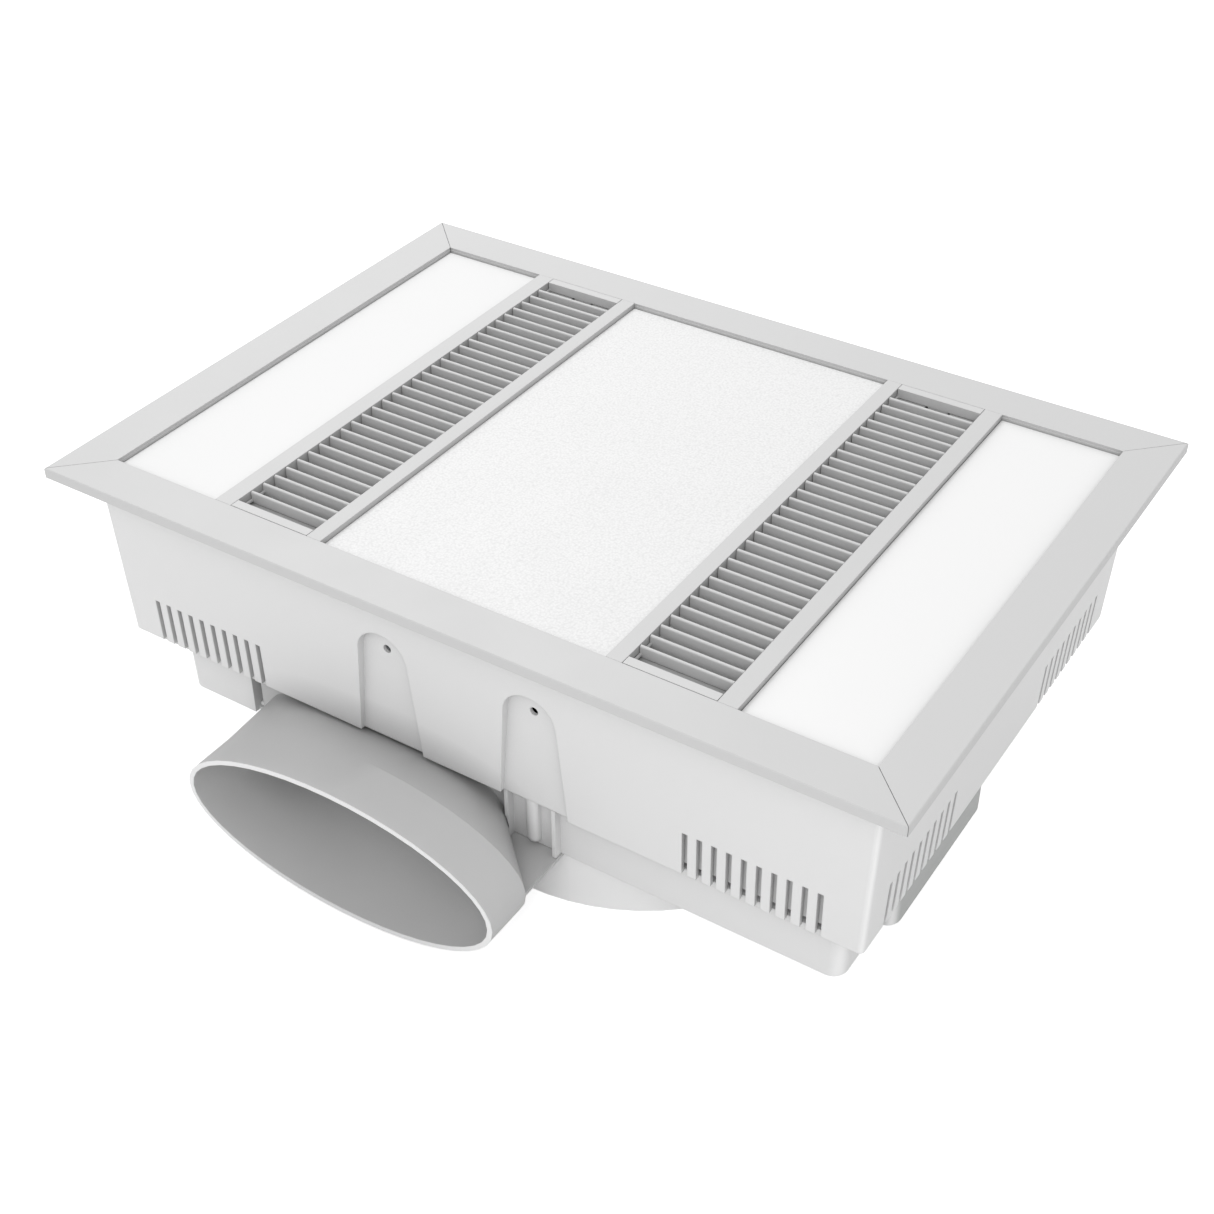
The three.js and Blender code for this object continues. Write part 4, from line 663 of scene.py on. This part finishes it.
def crease(mesh, place):
    """Keeps the ring where the oval collar meets its transition as an edge."""
    def on_ring(vertex):
        point = place @ vertex.co
        across = (point.x - COLLAR_CENTRE[0]) / COLLAR_HALF[0]
        up = (point.z - COLLAR_CENTRE[1]) / COLLAR_HALF[1]
        outside = math.hypot(across, up) > OUTER_SHARE and point.x > CREASE_FROM
        return outside and abs(point.y - COLLAR_START) < RING_REACH

    ring = [on_ring(vertex) for vertex in mesh.vertices]
    for edge in mesh.edges:
        if all(ring[end] for end in edge.vertices):
            edge.use_edge_sharp = True


def bevel_edges(piece, width, angle):
    """Rounds the edges of a piece that turn by more than an angle."""
    bevel = piece.modifiers.new("edges", "BEVEL")
    bevel.width = width
    bevel.segments = BEVEL_STEPS
    bevel.limit_method = "ANGLE"
    bevel.angle_limit = angle
    bevel.use_clamp_overlap = True
    bevel.miter_outer = "MITER_ARC"


def weight_normals(piece):
    """Keeps large faces evenly lit up to their rounded edges."""
    weighted = piece.modifiers.new("normals", "WEIGHTED_NORMAL")
    weighted.keep_sharp = True
    weighted.weight = FLAT_WEIGHT


def dress(node, material, edge_mm):
    """Welds a copy of a CAD node, rounds its edges and puts it in the node's place."""
    source = nodes[node]
    lofted = node == "duct_adapter"
    sharp = LOFT_ANGLE if lofted else SHARP_ANGLE
    mesh = welded(source.data, node + "_finished")
    mesh.polygons.foreach_set("use_smooth", [True] * len(mesh.polygons))
    mesh.set_sharp_from_angle(angle=sharp)
    if lofted:
        crease(mesh, source.matrix_world)
    cover(mesh, material)
    piece = put(node + "_finished", mesh)
    if edge_mm > 0:
        bevel_edges(piece, edge_mm * MM, sharp)
    weight_normals(piece)
    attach(piece, source["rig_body"])
    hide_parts(node)


finishes = {
    "fascia_white": make_fascia_white(),
    "louvre_white": make_louvre_white(),
    "housing_white": make_housing_white(),
    # The lower box takes painted shade in its crevices; the fan casing is the same white painted
    # lighter, as light that falls on it.
    "tub_white": make_tub_white("tub_white", tone=0.935, crevice_shade=0.4),
    "casing_white_lit": make_tub_white("casing_white_lit", tone=0.985, crevice_shade=0.0),
    "duct_grey": make_duct_grey(),
    "cable_grey": make_cable_grey(),
    "black_plastic": make_black_plastic(),
    "terminal_grey": make_terminal_grey(),
    "stippled_diffuser": make_stippled_diffuser(),
    # The right side panel is painted lighter than the left, as light that falls on it; both take
    # painted shade at their frame.
    "opal_left": make_opal_diffuser("side_diffuser_left", tone=0.955),
    "opal_right_lit": make_opal_diffuser("side_diffuser_right", tone=0.985),
    "sheet_steel": make_sheet_steel(),
    "bright_steel": make_bright_steel(),
    "magnet_grey": make_magnet_grey(),
    "copper_winding": make_copper_winding(),
}

# What each dressed node is made of, and how wide its bevel is in mm
DRESSED = {
    "fascia_rail_front": ("fascia_white", 0.2),
    "fascia_rail_back": ("fascia_white", 0.2),
    "fascia_rail_left": ("fascia_white", 0.2),
    "fascia_rail_right": ("fascia_white", 0.2),
    "crossbar_inner_left": ("fascia_white", 0.2),
    "crossbar_inner_right": ("fascia_white", 0.2),
    "crossbar_outer_left": ("fascia_white", 0.2),
    "crossbar_outer_right": ("fascia_white", 0.2),
    "louvre_grille_left": ("louvre_white", 0.0),
    "louvre_grille_right": ("louvre_white", 0.0),
    "centre_diffuser": ("stippled_diffuser", 0.3),
    "housing_sleeve": ("housing_white", 0.12),
    "housing_tub": ("tub_white", 0.15),
    "fan_casing": ("casing_white_lit", 0.5),
    "duct_adapter": ("duct_grey", 0.15),
    "backdraft_flap": ("duct_grey", 0.3),
    "terminal_box": ("terminal_grey", 0.6),
    "inlet_bellmouth": ("tub_white", 0.0),
    "cable_gland": ("cable_grey", 0.3),
    "rotor_can": ("bright_steel", 0.6),
    "fan_wheel": ("black_plastic", 0.0),
    "run_capacitor": ("cable_grey", 0.0),
    "led_driver": ("black_plastic", 0.0),
    "side_diffuser_left": ("opal_left", 0.3),
    "side_diffuser_right": ("opal_right_lit", 0.3),
}
for node, (look, edge_mm) in DRESSED.items():
    dress(node, finishes[look], edge_mm)

# The other nodes stay as they are and take the finish that their slot names
for node, slot in slot_of.items():
    if node not in DRESSED:
        material = make_led_board(node) if slot == "led_board" else finishes[slot]
        cover(nodes[node].data, material)


# ---------------------------------------------------------------- studio

def aim(thing, place, direction):
    """Puts a lamp or camera in its place, looking along a direction."""
    thing.location = place
    thing.rotation_euler = direction.to_track_quat("-Z", "Y").to_euler()


def area_lamp(name, place, target, size, power):
    """A round lamp that faces its target."""
    lamp = bpy.data.lights.new(name, "AREA")
    lamp.shape = "DISK"
    lamp.size = size
    lamp.energy = power
    aim(put(name, lamp), place, Vector(target) - Vector(place))


def make_floor(level):
    """A wide pale floor that reads white to the camera and still takes the shadow."""
    shape = bmesh.new()
    bmesh.ops.create_circle(shape, cap_ends=True, segments=FLOOR_SIDES, radius=FLOOR_RADIUS)
    bmesh.ops.translate(shape, verts=shape.verts, vec=(0, 0, level))
    floor = put("floor", mesh_of(shape, "floor"))
    material = bpy.data.materials.new("floor")
    material.use_nodes = True
    tree = material.node_tree
    shader = tree.nodes["Principled BSDF"]
    feed(shader, Base_Color=FLOOR_COLOUR, Roughness=FLOOR_ROUGHNESS, Specular_IOR_Level=0.0)
    path = tree.nodes.new("ShaderNodeLightPath")
    glow = tree.nodes.new("ShaderNodeEmission")
    feed(glow, Strength=math_node(tree, "MULTIPLY", path.outputs["Is Camera Ray"], FLOOR_GLOW))
    both = tree.nodes.new("ShaderNodeAddShader")
    plug(both.inputs[0], shader.outputs["BSDF"])
    plug(both.inputs[1], glow.outputs["Emission"])
    feed(tree.nodes["Material Output"], Surface=both.outputs["Shader"])
    cover(floor.data, material)


def make_world(light):
    """Even pale surroundings that read as white where the camera looks past the floor."""
    world = bpy.data.worlds.new("studio")
    world.use_nodes = True
    tree = world.node_tree
    path = tree.nodes.new("ShaderNodeLightPath").outputs
    seen = math_node(tree, "MAXIMUM", path["Is Camera Ray"], path["Is Glossy Ray"])
    extra = math_node(tree, "MULTIPLY", seen, 1.0 - light)
    strength = math_node(tree, "ADD", extra, light)
    feed(tree.nodes["Background"], Color=WHITE, Strength=strength)
    bpy.context.scene.world = world


def make_camera():
    """The photograph's camera."""
    lens = bpy.data.cameras.new("camera")
    lens.lens = CAMERA_LENS_MM
    lens.sensor_width = SENSOR_MM
    lens.sensor_height = SENSOR_MM
    lens.sensor_fit = "HORIZONTAL"
    lens.clip_start = NEAREST
    lens.clip_end = FARTHEST
    level = math.cos(CAMERA_ELEVATION)
    forward = Vector((
        -math.sin(CAMERA_AZIMUTH) * level,
        math.cos(CAMERA_AZIMUTH) * level,
        -math.sin(CAMERA_ELEVATION),
    ))
    camera = put("camera", lens)
    aim(camera, CAMERA_PLACE, forward)
    bpy.context.scene.camera = camera


make_camera()
make_world(WORLD_LIGHT)
make_floor(frame_box[0][2])
area_lamp("front", **FRONT_LAMP)
area_lamp("back_left", **BACK_LAMP)
bpy.context.scene.view_settings.view_transform = "Standard"
